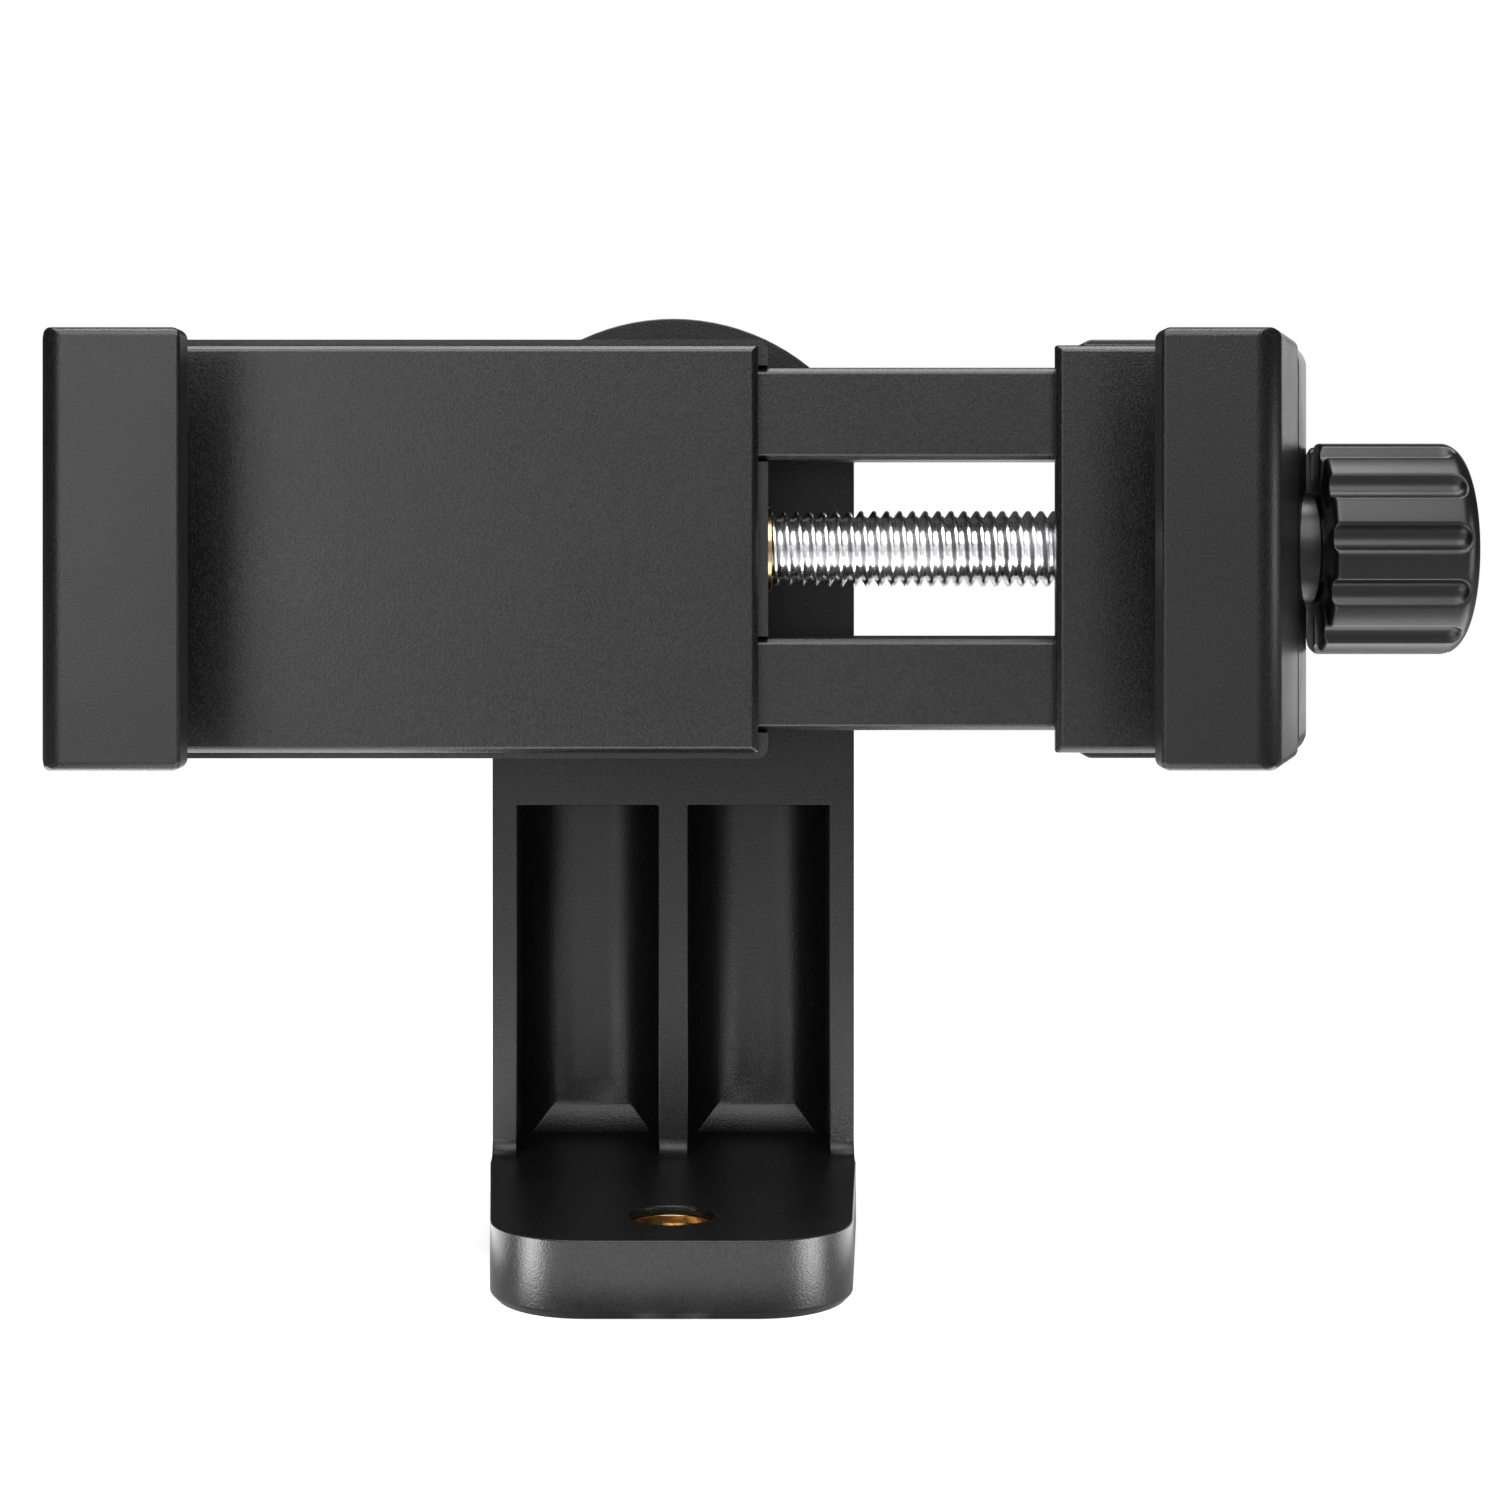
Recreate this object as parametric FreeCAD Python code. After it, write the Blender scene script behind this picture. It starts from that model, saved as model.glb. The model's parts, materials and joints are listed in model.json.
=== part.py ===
import FreeCAD, Part
import math
import os

# Phone clamp on an angle bracket, in millimetres.
# The origin is the mouth of the tripod thread under the foot. +X points to the knob, -Y to the front, +Z up.

os.makedirs("parts", exist_ok=True)

# Bracket
FOOT_THICKNESS = 5.7
FOOT_FRONT_WIDTH = 25.6
FOOT_CORNER_RADIUS = 7.1
FOOT_REAR_CORNER_RADIUS = 1.6
FOOT_LOWER_CHAMFER = 0.6
HOLE_TO_FOOT_FRONT = 8.1
ARM_WIDTH = 29.2
SIDE_RIB_THICKNESS = 2.0
CENTRE_RIB_THICKNESS = 2.4
BAY_DEPTH = 11.0
BAY_FLOOR_THICKNESS = 1.5
BAY_SIDE_FILLET = 4.4
BAY_FOOT_FILLET = 6.0
BAY_CREASE_DROP = 1.6
RIB_FOOT_FILLET = 1.3
HEAD_RADIUS = 17.4
HEAD_ARC_RISE = 1.2
HEAD_BLOCK_DROP = 20.7
HEAD_WEB_THICKNESS = 5.5
HEAD_WALL_THICKNESS = 2.2
HUB_WALL = 1.4
HUB_HEIGHT = 2.9
HEAD_RIB_COUNT = 8
HEAD_RIB_THICKNESS = 1.5
HEAD_RIB_SETBACK = 1.4

# Tripod bush, quarter inch thread
TRIPOD_THREAD_DIAMETER = 6.35
TRIPOD_BUSH_DIAMETER = 9.2
TRIPOD_FLANGE_DIAMETER = 12.0
TRIPOD_FLANGE_THICKNESS = 0.9
TRIPOD_BUSH_TOP_SKIN = 0.7
TRIPOD_BUSH_CHAMFER = 0.3

# Clamp body
SPINDLE_TO_HOLE = 13.0
BODY_FRONT_DEPTH = 6.4
BODY_BACK_DEPTH = 7.8
BODY_RIGHT_END = 7.3
SHELL_HEIGHT = 31.9
SHELL_BACK_WALL = 1.8
SHELL_CORNER_FILLET = 0.9
SHELL_BACK_CHAMFER = 0.7
COVER_THICKNESS = 1.5
COVER_INSET = 0.5
COVER_END_SETBACK = 0.8
CAVITY_SETBACK = 1.1
COVER_CHAMFER = 0.4
COVER_RIB_THICKNESS = 0.9
COVER_RIB_DEPTH = 0.9
GUIDE_WALL = 1.0
NUT_HOUSING_WALL = 1.2

# Jaws and their rubber grips
LEFT_REACH = 45.1
PHONE_GAP = 9.5
LIP_THICKNESS = 2.0
GRIP_THICKNESS = 0.8
LIP_OVERHANG = 5.5
FIXED_JAW_WALL = 3.0
JAW_INSET = 0.1
GRIP_NOSE_RADIUS = 1.8
GRIP_RIM_CHAMFER = 0.5
GRIP_SEAT_GAP = 0.1
REST_OPENING = 81.0

# Sliding jaw
SLIDE_GAP = 0.15
RAIL_INNER = 6.8
RAIL_HEIGHT = 7.05
RAIL_DEPTH = 7.0
RAIL_CHAMFER = 0.4
RAIL_LENGTH = 46.0
RAIL_WALL = 1.4
RAIL_POCKET_DEPTH = 5.2
RAIL_POCKETS = 5
RAIL_RIB = 1.2
PLATE_LENGTH = 5.9
CARRIAGE_SETBACK = 2.0
CARRIAGE_WALL = 1.8
END_WALL_SLOPE = 17.0
END_WALL_DEPTH = 8.0
END_CAP_THICKNESS = 2.0
END_CAP_CORNER = 1.8
END_CAP_GROOVE = 0.4

# Spindle, nut and knob
SPINDLE_DIAMETER = 5.9
SPINDLE_LENGTH = 73.55
SPINDLE_TIP_CHAMFER = 0.8
THREAD_CLEARANCE = 0.05
NUT_WIDTH = 9.2
NUT_LENGTH = 5.0
NUT_NECK_WALL = 0.45
NUT_NECK_LENGTH = 0.35
NUT_CHAMFER = 0.5
BUSH_DIAMETER = 8.7
BUSH_FIT = 0.04
BUSH_INNER_STEP = 3.0
BUSH_PROUD = 0.45
BUSH_CHAMFER = 0.15
KNOB_GAP = 0.1
KNOB_DIAMETER = 16.4
KNOB_LENGTH = 11.5
KNOB_NOSE = 2.0
KNOB_NOSE_STEPS = 3
KNOB_REAR_CHAMFER = 0.4
FLUTE_COUNT = 12
FLUTE_RADIUS = 1.1
FLUTE_DEPTH = 0.8
FLUTE_RUN_OUT = 1.3
FLUTE_PHASE = 6.0
BOLT_HEAD_FLATS = 10.0
BOLT_HEAD_LENGTH = 4.0
BOLT_HEAD_INSET = 4.4
RING_DIAMETER = 8.0
RING_THICKNESS = 0.8
RING_SEAT_DIAMETER = 4.6
RING_MOUTH = 3.4
THRUST_WASHER_DIAMETER = 8.6
THRUST_WASHER_THICKNESS = 0.8
THRUST_WASHER_ROOM = 0.3
STOP_CLIP_DIAMETER = 8.4
STOP_CLIP_THICKNESS = 0.8

# Pivot
PIVOT_BOSS_DIAMETER = 12.0
PIVOT_FIT = 0.05
PIVOT_BOSS_SHORTFALL = 0.2
PIVOT_RUN_GAP = 0.05
FRICTION_DISC_WIDTH = 1.1
FRICTION_DISC_THICKNESS = 0.8
PIVOT_WASHER_OVERLAP = 1.3
PIVOT_WASHER_THICKNESS = 1.2
PIVOT_WASHER_ROOM = 0.5
SPRING_WASHER_DIAMETER = 8.2
SPRING_WASHER_THICKNESS = 1.0
SPRING_WASHER_SLIT = 0.6
PIVOT_SCREW_DIAMETER = 3.9
PIVOT_SCREW_FIT = 0.02
PIVOT_SCREW_HEAD_DIAMETER = 8.2
PIVOT_SCREW_HEAD_HEIGHT = 2.4
PIVOT_SCREW_HEAD_CHAMFER = 0.9
PIVOT_SCREW_END_ROOM = 0.5
PIVOT_INSERT_DIAMETER = 6.6
PIVOT_INSERT_FLOOR = 1.3
CROSS_SLOT_LENGTH = 4.4
CROSS_SLOT_WIDTH = 0.9
CROSS_SLOT_DEPTH = 1.3
SWING_CLEARANCE = 1.1

# Depths along Y
SPINDLE_Y = SPINDLE_TO_HOLE
BODY_FRONT_Y = SPINDLE_Y - BODY_FRONT_DEPTH
COVER_BACK_Y = BODY_FRONT_Y + COVER_THICKNESS
BODY_BACK_Y = SPINDLE_Y + BODY_BACK_DEPTH
SHELL_FLOOR_Y = BODY_BACK_Y - SHELL_BACK_WALL
GRIP_BACK_Y = BODY_FRONT_Y - PHONE_GAP
LIP_BACK_Y = GRIP_BACK_Y - GRIP_THICKNESS
LIP_FRONT_Y = LIP_BACK_Y - LIP_THICKNESS
GRIP_FRONT_Y = LIP_FRONT_Y - GRIP_THICKNESS
GRIP_SEAT_Y = BODY_FRONT_Y - GRIP_SEAT_GAP
HEAD_FRONT_Y = BODY_BACK_Y + FRICTION_DISC_THICKNESS + PIVOT_RUN_GAP
WASHER_SEAT_Y = HEAD_FRONT_Y + HEAD_WEB_THICKNESS
BAY_FLOOR_Y = HEAD_FRONT_Y + BAY_DEPTH
ARM_BACK_Y = BAY_FLOOR_Y + BAY_FLOOR_THICKNESS
FOOT_FRONT_Y = -HOLE_TO_FOOT_FRONT

# Half heights about the spindle
RAIL_OUTER = RAIL_INNER + RAIL_HEIGHT
CAVITY_HALF = RAIL_OUTER + SLIDE_GAP
GUIDE_OUTER = RAIL_INNER - SLIDE_GAP
GUIDE_INNER = GUIDE_OUTER - GUIDE_WALL
SHELL_HALF = SHELL_HEIGHT / 2
COVER_HALF = SHELL_HALF - COVER_INSET
JAW_HALF = SHELL_HALF - JAW_INSET
JAW_CORE_HALF = JAW_HALF - GRIP_THICKNESS

# Rings about the pivot boss
FRICTION_DISC_DIAMETER = PIVOT_BOSS_DIAMETER + 2 * FRICTION_DISC_WIDTH
PIVOT_WASHER_DIAMETER = PIVOT_BOSS_DIAMETER + 2 * PIVOT_WASHER_OVERLAP

# Heights along Z
SWING_RADIUS = math.hypot(LEFT_REACH, JAW_HALF)
PIVOT_Z = FOOT_THICKNESS + SWING_RADIUS + SWING_CLEARANCE
HEAD_BLOCK_Z = PIVOT_Z - HEAD_BLOCK_DROP

# Places along X
FIXED_WALL_OUT = -LEFT_REACH + GRIP_THICKNESS
FIXED_WALL_IN = FIXED_WALL_OUT + FIXED_JAW_WALL
GRIP_WALL_IN = FIXED_WALL_IN + GRIP_THICKNESS
FIXED_LIP_END = GRIP_WALL_IN + LIP_OVERHANG - GRIP_THICKNESS
COVER_RIGHT_END = BODY_RIGHT_END - COVER_END_SETBACK
MOVING_GRIP_IN = GRIP_WALL_IN + REST_OPENING
MOVING_WALL_IN = MOVING_GRIP_IN + GRIP_THICKNESS
MOVING_LIP_END = MOVING_GRIP_IN - LIP_OVERHANG + GRIP_THICKNESS
PLATE_LEFT = MOVING_GRIP_IN - LIP_OVERHANG - PLATE_LENGTH
CARRIAGE_LEFT = PLATE_LEFT + CARRIAGE_SETBACK
RAIL_LEFT = CARRIAGE_LEFT - RAIL_LENGTH
CAVITY_LEFT = FIXED_WALL_IN + CAVITY_SETBACK
NUT_LEFT = BODY_RIGHT_END - NUT_LENGTH
CAP_OUT = MOVING_WALL_IN + END_WALL_DEPTH
CAP_IN = CAP_OUT - END_CAP_THICKNESS
BUSH_RIGHT = CAP_OUT + BUSH_PROUD
KNOB_LEFT = BUSH_RIGHT + KNOB_GAP
KNOB_RIGHT = KNOB_LEFT + KNOB_LENGTH
BOLT_HEAD_RIGHT = KNOB_RIGHT - BOLT_HEAD_INSET
SPINDLE_TIP = BOLT_HEAD_RIGHT - SPINDLE_LENGTH
STOP_CLIP_LEFT = SPINDLE_TIP + SPINDLE_TIP_CHAMFER
RING_RIGHT = MOVING_WALL_IN - THRUST_WASHER_THICKNESS

# Depths of the rails
RAIL_FRONT_Y = COVER_BACK_Y + SLIDE_GAP
RAIL_BACK_Y = RAIL_FRONT_Y + RAIL_DEPTH

PAST = 1.0
X_AXIS = FreeCAD.Vector(1, 0, 0)
Y_AXIS = FreeCAD.Vector(0, 1, 0)
Z_AXIS = FreeCAD.Vector(0, 0, 1)


def point(x, y, z):
    return FreeCAD.Vector(x, y, z)


def block(x_from, x_to, y_from, y_to, z_from, z_to):
    return Part.makeBox(x_to - x_from, y_to - y_from, z_to - z_from, point(x_from, y_from, z_from))


def round_along_x(radius, x_from, x_to, y=SPINDLE_Y, z=PIVOT_Z):
    return Part.makeCylinder(radius, x_to - x_from, point(x_from, y, z), X_AXIS)


def round_along_y(radius, y_from, y_to, x=0.0, z=PIVOT_Z):
    return Part.makeCylinder(radius, y_to - y_from, point(x, y_from, z), Y_AXIS)


def round_along_z(radius, z_from, z_to):
    return Part.makeCylinder(radius, z_to - z_from, point(0, 0, z_from), Z_AXIS)


def prism_along_z(plan, z_from, z_to):
    corners = [point(x, y, z_from) for x, y in plan]
    face = Part.Face(Part.makePolygon(corners + corners[:1]))
    return face.extrude(point(0, 0, z_to - z_from))


def edges_where(shape, wanted):
    return [edge for edge in shape.Edges if wanted(edge)]


def runs_along(edge, axis, tolerance=0.001):
    ends = [vertex.Point for vertex in edge.Vertexes]
    if len(ends) < 2 or edge.Curve.TypeId != "Part::GeomLine":
        return False
    way = ends[1].sub(ends[0]).normalize()
    return abs(abs(way.dot(axis)) - 1) < tolerance


def edge_middle(edge):
    return edge.CenterOfMass


def near(value, target, tolerance=0.01):
    return abs(value - target) < tolerance


def fuse_all(shape, others):
    return shape.fuse(others).removeSplitter()


def solid_of(shape):
    return shape.Solids[0] if len(shape.Solids) == 1 else shape


# Head outline in the XZ plane, round at the top and straight at the sides, drawn in by a wall
def head_outline(inset, bottom_z, y_from, y_to):
    radius = HEAD_RADIUS - inset
    half = ARM_WIDTH / 2 - inset
    centre_z = PIVOT_Z + HEAD_ARC_RISE
    shoulder_z = centre_z + math.sqrt(radius ** 2 - half ** 2)
    left = point(-half, y_from, shoulder_z)
    right = point(half, y_from, shoulder_z)
    top = point(0, y_from, centre_z + radius)
    lower_left = point(-half, y_from, bottom_z)
    lower_right = point(half, y_from, bottom_z)
    edges = [
        Part.makeLine(lower_left, left),
        Part.Arc(left, top, right).toShape(),
        Part.makeLine(right, lower_right),
        Part.makeLine(lower_right, lower_left),
    ]
    return Part.Face(Part.Wire(edges)).extrude(point(0, y_to - y_from, 0))


def make_foot():
    rear = ARM_WIDTH / 2
    front = FOOT_FRONT_WIDTH / 2
    taper_y = HEAD_FRONT_Y - 2 * RIB_FOOT_FILLET
    plan = [
        (-front, FOOT_FRONT_Y),
        (front, FOOT_FRONT_Y),
        (rear, taper_y),
        (rear, ARM_BACK_Y),
        (-rear, ARM_BACK_Y),
        (-rear, taper_y),
    ]
    foot = prism_along_z(plan, 0, FOOT_THICKNESS)
    uprights = edges_where(foot, lambda e: runs_along(e, Z_AXIS))
    front_corners = [edge for edge in uprights if near(edge_middle(edge).y, FOOT_FRONT_Y)]
    foot = foot.makeFillet(FOOT_CORNER_RADIUS, front_corners)
    uprights = edges_where(foot, lambda e: runs_along(e, Z_AXIS))
    rear_corners = [edge for edge in uprights if near(edge_middle(edge).y, ARM_BACK_Y)]
    foot = foot.makeFillet(FOOT_REAR_CORNER_RADIUS, rear_corners)
    lower_rim = edges_where(foot, lambda e: near(e.BoundBox.ZMax, 0) and e.BoundBox.YMin < taper_y - PAST)
    return foot.makeChamfer(FOOT_LOWER_CHAMFER, lower_rim)


# Hollow fillet between the ribs' front and the foot, which the bays then divide
def make_rib_toe():
    front_y = HEAD_FRONT_Y - RIB_FOOT_FILLET
    top_z = FOOT_THICKNESS + RIB_FOOT_FILLET
    half = ARM_WIDTH / 2
    toe = block(-half, half, front_y, HEAD_FRONT_Y + PAST, FOOT_THICKNESS - PAST, top_z)
    return toe.cut(round_along_x(RIB_FOOT_FILLET, -ARM_WIDTH, ARM_WIDTH, front_y, top_z))


# A channel with rounded sides and a wider rounding at the foot, whose top cuts that one off in a crease
def make_bay(x_from, x_to):
    front_y = HEAD_FRONT_Y - 2 * RIB_FOOT_FILLET
    bottom_z = FOOT_THICKNESS - BAY_CREASE_DROP
    bay = block(x_from, x_to, front_y, BAY_FLOOR_Y, bottom_z, HEAD_BLOCK_Z)
    floor_edges = edges_where(bay, lambda e: near(e.BoundBox.YMin, BAY_FLOOR_Y))
    sides = [edge for edge in floor_edges if runs_along(edge, Z_AXIS)]
    lower = [edge for edge in floor_edges if near(edge.BoundBox.ZMax, bottom_z)]
    rounded = bay.makeFillet(BAY_SIDE_FILLET, sides).common(bay.makeFillet(BAY_FOOT_FILLET, lower))
    foot_top = block(x_from - PAST, x_to + PAST, front_y - PAST, BAY_FLOOR_Y + PAST, 0, FOOT_THICKNESS)
    return rounded.cut(foot_top)


def make_head_pocket():
    bottom_z = HEAD_BLOCK_Z + HEAD_WALL_THICKNESS
    pocket = head_outline(HEAD_WALL_THICKNESS, bottom_z, WASHER_SEAT_Y, ARM_BACK_Y + PAST)
    hub_radius = PIVOT_WASHER_DIAMETER / 2 + PIVOT_WASHER_ROOM + HUB_WALL
    keep = [round_along_y(hub_radius, WASHER_SEAT_Y - PAST, WASHER_SEAT_Y + HUB_HEIGHT)]
    step = 360.0 / HEAD_RIB_COUNT
    for index in range(HEAD_RIB_COUNT):
        rib = block(
            hub_radius - HUB_WALL / 2,
            2 * HEAD_RADIUS,
            WASHER_SEAT_Y - PAST,
            ARM_BACK_Y - HEAD_RIB_SETBACK,
            PIVOT_Z - HEAD_RIB_THICKNESS / 2,
            PIVOT_Z + HEAD_RIB_THICKNESS / 2,
        )
        rib.rotate(point(0, 0, PIVOT_Z), Y_AXIS, step / 2 + index * step)
        keep.append(rib)
    return pocket.cut(keep)


def make_bracket():
    arm = head_outline(0, 0, HEAD_FRONT_Y, ARM_BACK_Y)
    bracket = fuse_all(arm, [make_foot(), make_rib_toe()])
    half = ARM_WIDTH / 2
    bays = [
        make_bay(-half + SIDE_RIB_THICKNESS, -CENTRE_RIB_THICKNESS / 2),
        make_bay(CENTRE_RIB_THICKNESS / 2, half - SIDE_RIB_THICKNESS),
    ]
    washer_room = PIVOT_WASHER_DIAMETER / 2 + PIVOT_WASHER_ROOM
    tools = bays + [
        make_head_pocket(),
        round_along_y(washer_room, WASHER_SEAT_Y, ARM_BACK_Y + PAST),
        round_along_y(PIVOT_BOSS_DIAMETER / 2 + PIVOT_FIT, HEAD_FRONT_Y - PAST, WASHER_SEAT_Y + PAST),
        tripod_bush_outline(),
        round_along_z(TRIPOD_THREAD_DIAMETER / 2, -PAST, FOOT_THICKNESS + PAST),
    ]
    return bracket.cut(tools)


def tripod_bush_outline():
    top = FOOT_THICKNESS - TRIPOD_BUSH_TOP_SKIN
    barrel = round_along_z(TRIPOD_BUSH_DIAMETER / 2, 0, top)
    flange = round_along_z(TRIPOD_FLANGE_DIAMETER / 2, 0, TRIPOD_FLANGE_THICKNESS)
    return fuse_all(barrel, [flange])


def make_tripod_bush():
    bore = TRIPOD_THREAD_DIAMETER / 2
    bush = tripod_bush_outline().cut(round_along_z(bore, -PAST, FOOT_THICKNESS + PAST))
    mouth = edges_where(bush, lambda e: near(e.BoundBox.ZMax, 0) and near(e.BoundBox.XMax, bore))
    return bush.makeChamfer(TRIPOD_BUSH_CHAMFER, mouth)


# Outer wall of the sliding jaw at a depth: it leans out to the rear, then runs straight
def moving_wall_x(y):
    lean = math.tan(math.radians(END_WALL_SLOPE))
    return CAP_OUT - max(0.0, SPINDLE_Y - y) * lean


def fixed_jaw_plan(grow, back_y):
    outer = FIXED_WALL_OUT - grow
    inner = FIXED_WALL_IN + grow
    return [
        (outer, back_y),
        (outer, LIP_FRONT_Y - grow),
        (FIXED_LIP_END + grow, LIP_FRONT_Y - grow),
        (FIXED_LIP_END + grow, LIP_BACK_Y + grow),
        (inner, LIP_BACK_Y + grow),
        (inner, back_y),
    ]


def moving_jaw_plan(grow, back_y):
    front = LIP_FRONT_Y - grow
    slant = GRIP_THICKNESS - grow
    inner = MOVING_WALL_IN - grow
    return [
        (moving_wall_x(back_y) - slant, back_y),
        (moving_wall_x(front) - slant, front),
        (MOVING_LIP_END - grow, front),
        (MOVING_LIP_END - grow, LIP_BACK_Y + grow),
        (inner, LIP_BACK_Y + grow),
        (inner, back_y),
    ]


def make_grip(outer_plan, core_plan, nose_x):
    low = PIVOT_Z - JAW_HALF
    high = PIVOT_Z + JAW_HALF
    grip = prism_along_z(outer_plan, low, high)
    nose = edges_where(
        grip,
        lambda e: runs_along(e, Z_AXIS)
        and near(edge_middle(e).y, GRIP_FRONT_Y)
        and near(edge_middle(e).x, nose_x),
    )
    grip = grip.makeFillet(GRIP_NOSE_RADIUS, nose)
    rims = edges_where(
        grip,
        lambda e: (near(e.BoundBox.ZMin, low) and near(e.BoundBox.ZMax, low))
        or (near(e.BoundBox.ZMin, high) and near(e.BoundBox.ZMax, high)),
    )
    rims = [edge for edge in rims if not near(edge.BoundBox.YMin, GRIP_SEAT_Y)]
    grip = grip.makeChamfer(GRIP_RIM_CHAMFER, rims)
    core = prism_along_z(core_plan, PIVOT_Z - JAW_CORE_HALF, PIVOT_Z + JAW_CORE_HALF)
    return grip.cut(core)


def make_left_grip():
    outer = fixed_jaw_plan(GRIP_THICKNESS, GRIP_SEAT_Y)
    core = fixed_jaw_plan(0, GRIP_SEAT_Y + PAST)
    return make_grip(outer, core, FIXED_WALL_OUT - GRIP_THICKNESS)


def make_right_grip():
    outer = moving_jaw_plan(GRIP_THICKNESS, GRIP_SEAT_Y)
    core = moving_jaw_plan(0, GRIP_SEAT_Y + PAST)
    return make_grip(outer, core, moving_wall_x(GRIP_FRONT_Y))


def make_nut_housing():
    wall = NUT_HOUSING_WALL
    housing = block(
        NUT_LEFT - wall,
        BODY_RIGHT_END,
        COVER_BACK_Y,
        SHELL_FLOOR_Y + PAST,
        PIVOT_Z - GUIDE_OUTER,
        PIVOT_Z + GUIDE_OUTER,
    )
    return housing


def make_rear_shell():
    low = PIVOT_Z - SHELL_HALF
    high = PIVOT_Z + SHELL_HALF
    shell = block(-LEFT_REACH, BODY_RIGHT_END, COVER_BACK_Y, BODY_BACK_Y, low, high)
    corners = edges_where(shell, lambda e: runs_along(e, Y_AXIS))
    shell = shell.makeFillet(SHELL_CORNER_FILLET, corners)
    back_rim = edges_where(shell, lambda e: near(e.BoundBox.YMin, BODY_BACK_Y))
    shell = shell.makeChamfer(SHELL_BACK_CHAMFER, back_rim)
    root_low, root_high = PIVOT_Z - COVER_HALF, PIVOT_Z + COVER_HALF
    root = block(-LEFT_REACH, FIXED_WALL_IN, BODY_FRONT_Y, COVER_BACK_Y, root_low, root_high)
    hook_plan = fixed_jaw_plan(0, COVER_BACK_Y)
    hook = prism_along_z(hook_plan, PIVOT_Z - JAW_CORE_HALF, PIVOT_Z + JAW_CORE_HALF)
    boss = round_along_y(PIVOT_BOSS_DIAMETER / 2, BODY_BACK_Y - PAST, WASHER_SEAT_Y - PIVOT_BOSS_SHORTFALL)
    cavity = block(
        CAVITY_LEFT,
        BODY_RIGHT_END + PAST,
        COVER_BACK_Y - PAST,
        SHELL_FLOOR_Y,
        PIVOT_Z - CAVITY_HALF,
        PIVOT_Z + CAVITY_HALF,
    )
    shell = shell.cut(cavity)
    inside = [make_nut_housing()]
    for side in (-1, 1):
        wall_low, wall_high = sorted((PIVOT_Z + side * GUIDE_INNER, PIVOT_Z + side * GUIDE_OUTER))
        wall = block(CAVITY_LEFT, BODY_RIGHT_END, COVER_BACK_Y, BODY_BACK_Y - PAST, wall_low, wall_high)
        ledge_low, ledge_high = sorted((PIVOT_Z + side * GUIDE_OUTER, PIVOT_Z + side * CAVITY_HALF))
        ledge = block(
            CAVITY_LEFT,
            BODY_RIGHT_END,
            RAIL_BACK_Y + SLIDE_GAP,
            BODY_BACK_Y - PAST,
            ledge_low,
            ledge_high,
        )
        inside += [wall, ledge]
    shell = fuse_all(shell, inside + [root, hook, boss])
    nut_pocket = block(
        NUT_LEFT,
        BODY_RIGHT_END - NUT_HOUSING_WALL,
        COVER_BACK_Y - PAST,
        SPINDLE_Y + NUT_WIDTH / 2,
        PIVOT_Z - NUT_WIDTH / 2,
        PIVOT_Z + NUT_WIDTH / 2,
    )
    neck_room = SPINDLE_DIAMETER / 2 + THREAD_CLEARANCE + NUT_NECK_WALL
    insert_from = SHELL_FLOOR_Y + PIVOT_INSERT_FLOOR
    tools = [
        nut_pocket,
        round_along_x(neck_room, NUT_LEFT - 2 * NUT_HOUSING_WALL, BODY_RIGHT_END + PAST),
        round_along_y(PIVOT_INSERT_DIAMETER / 2, insert_from, WASHER_SEAT_Y + PAST),
    ]
    return shell.cut(tools)


def make_front_cover():
    left = FIXED_WALL_IN
    cover = block(
        left,
        COVER_RIGHT_END,
        BODY_FRONT_Y,
        COVER_BACK_Y,
        PIVOT_Z - COVER_HALF,
        PIVOT_Z + COVER_HALF,
    )
    front_rim = edges_where(cover, lambda e: near(e.BoundBox.YMax, BODY_FRONT_Y))
    front_rim = [edge for edge in front_rim if edge.BoundBox.XMax > left + PAST]
    cover = cover.makeChamfer(COVER_CHAMFER, front_rim)
    ribs = []
    for side in (-1, 1):
        outer_z = PIVOT_Z + side * GUIDE_INNER
        rib_low, rib_high = sorted((outer_z, outer_z - side * COVER_RIB_THICKNESS))
        ribs.append(
            block(
                CAVITY_LEFT,
                NUT_LEFT - NUT_HOUSING_WALL,
                COVER_BACK_Y - COVER_CHAMFER,
                COVER_BACK_Y + COVER_RIB_DEPTH,
                rib_low,
                rib_high,
            )
        )
    return fuse_all(cover, ribs)


def make_spindle_nut():
    half = NUT_WIDTH / 2
    left = NUT_LEFT
    right = BODY_RIGHT_END - NUT_HOUSING_WALL
    nut = block(left, right, SPINDLE_Y - half, SPINDLE_Y + half, PIVOT_Z - half, PIVOT_Z + half)
    corners = edges_where(nut, lambda e: runs_along(e, X_AXIS))
    nut = nut.makeChamfer(NUT_CHAMFER, corners)
    bore = SPINDLE_DIAMETER / 2 + THREAD_CLEARANCE
    neck = round_along_x(bore + NUT_NECK_WALL, right - NUT_CHAMFER, BODY_RIGHT_END + NUT_NECK_LENGTH)
    nut = fuse_all(nut, [neck])
    return nut.cut(round_along_x(bore, left - PAST, BODY_RIGHT_END + 2 * PAST))


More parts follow.
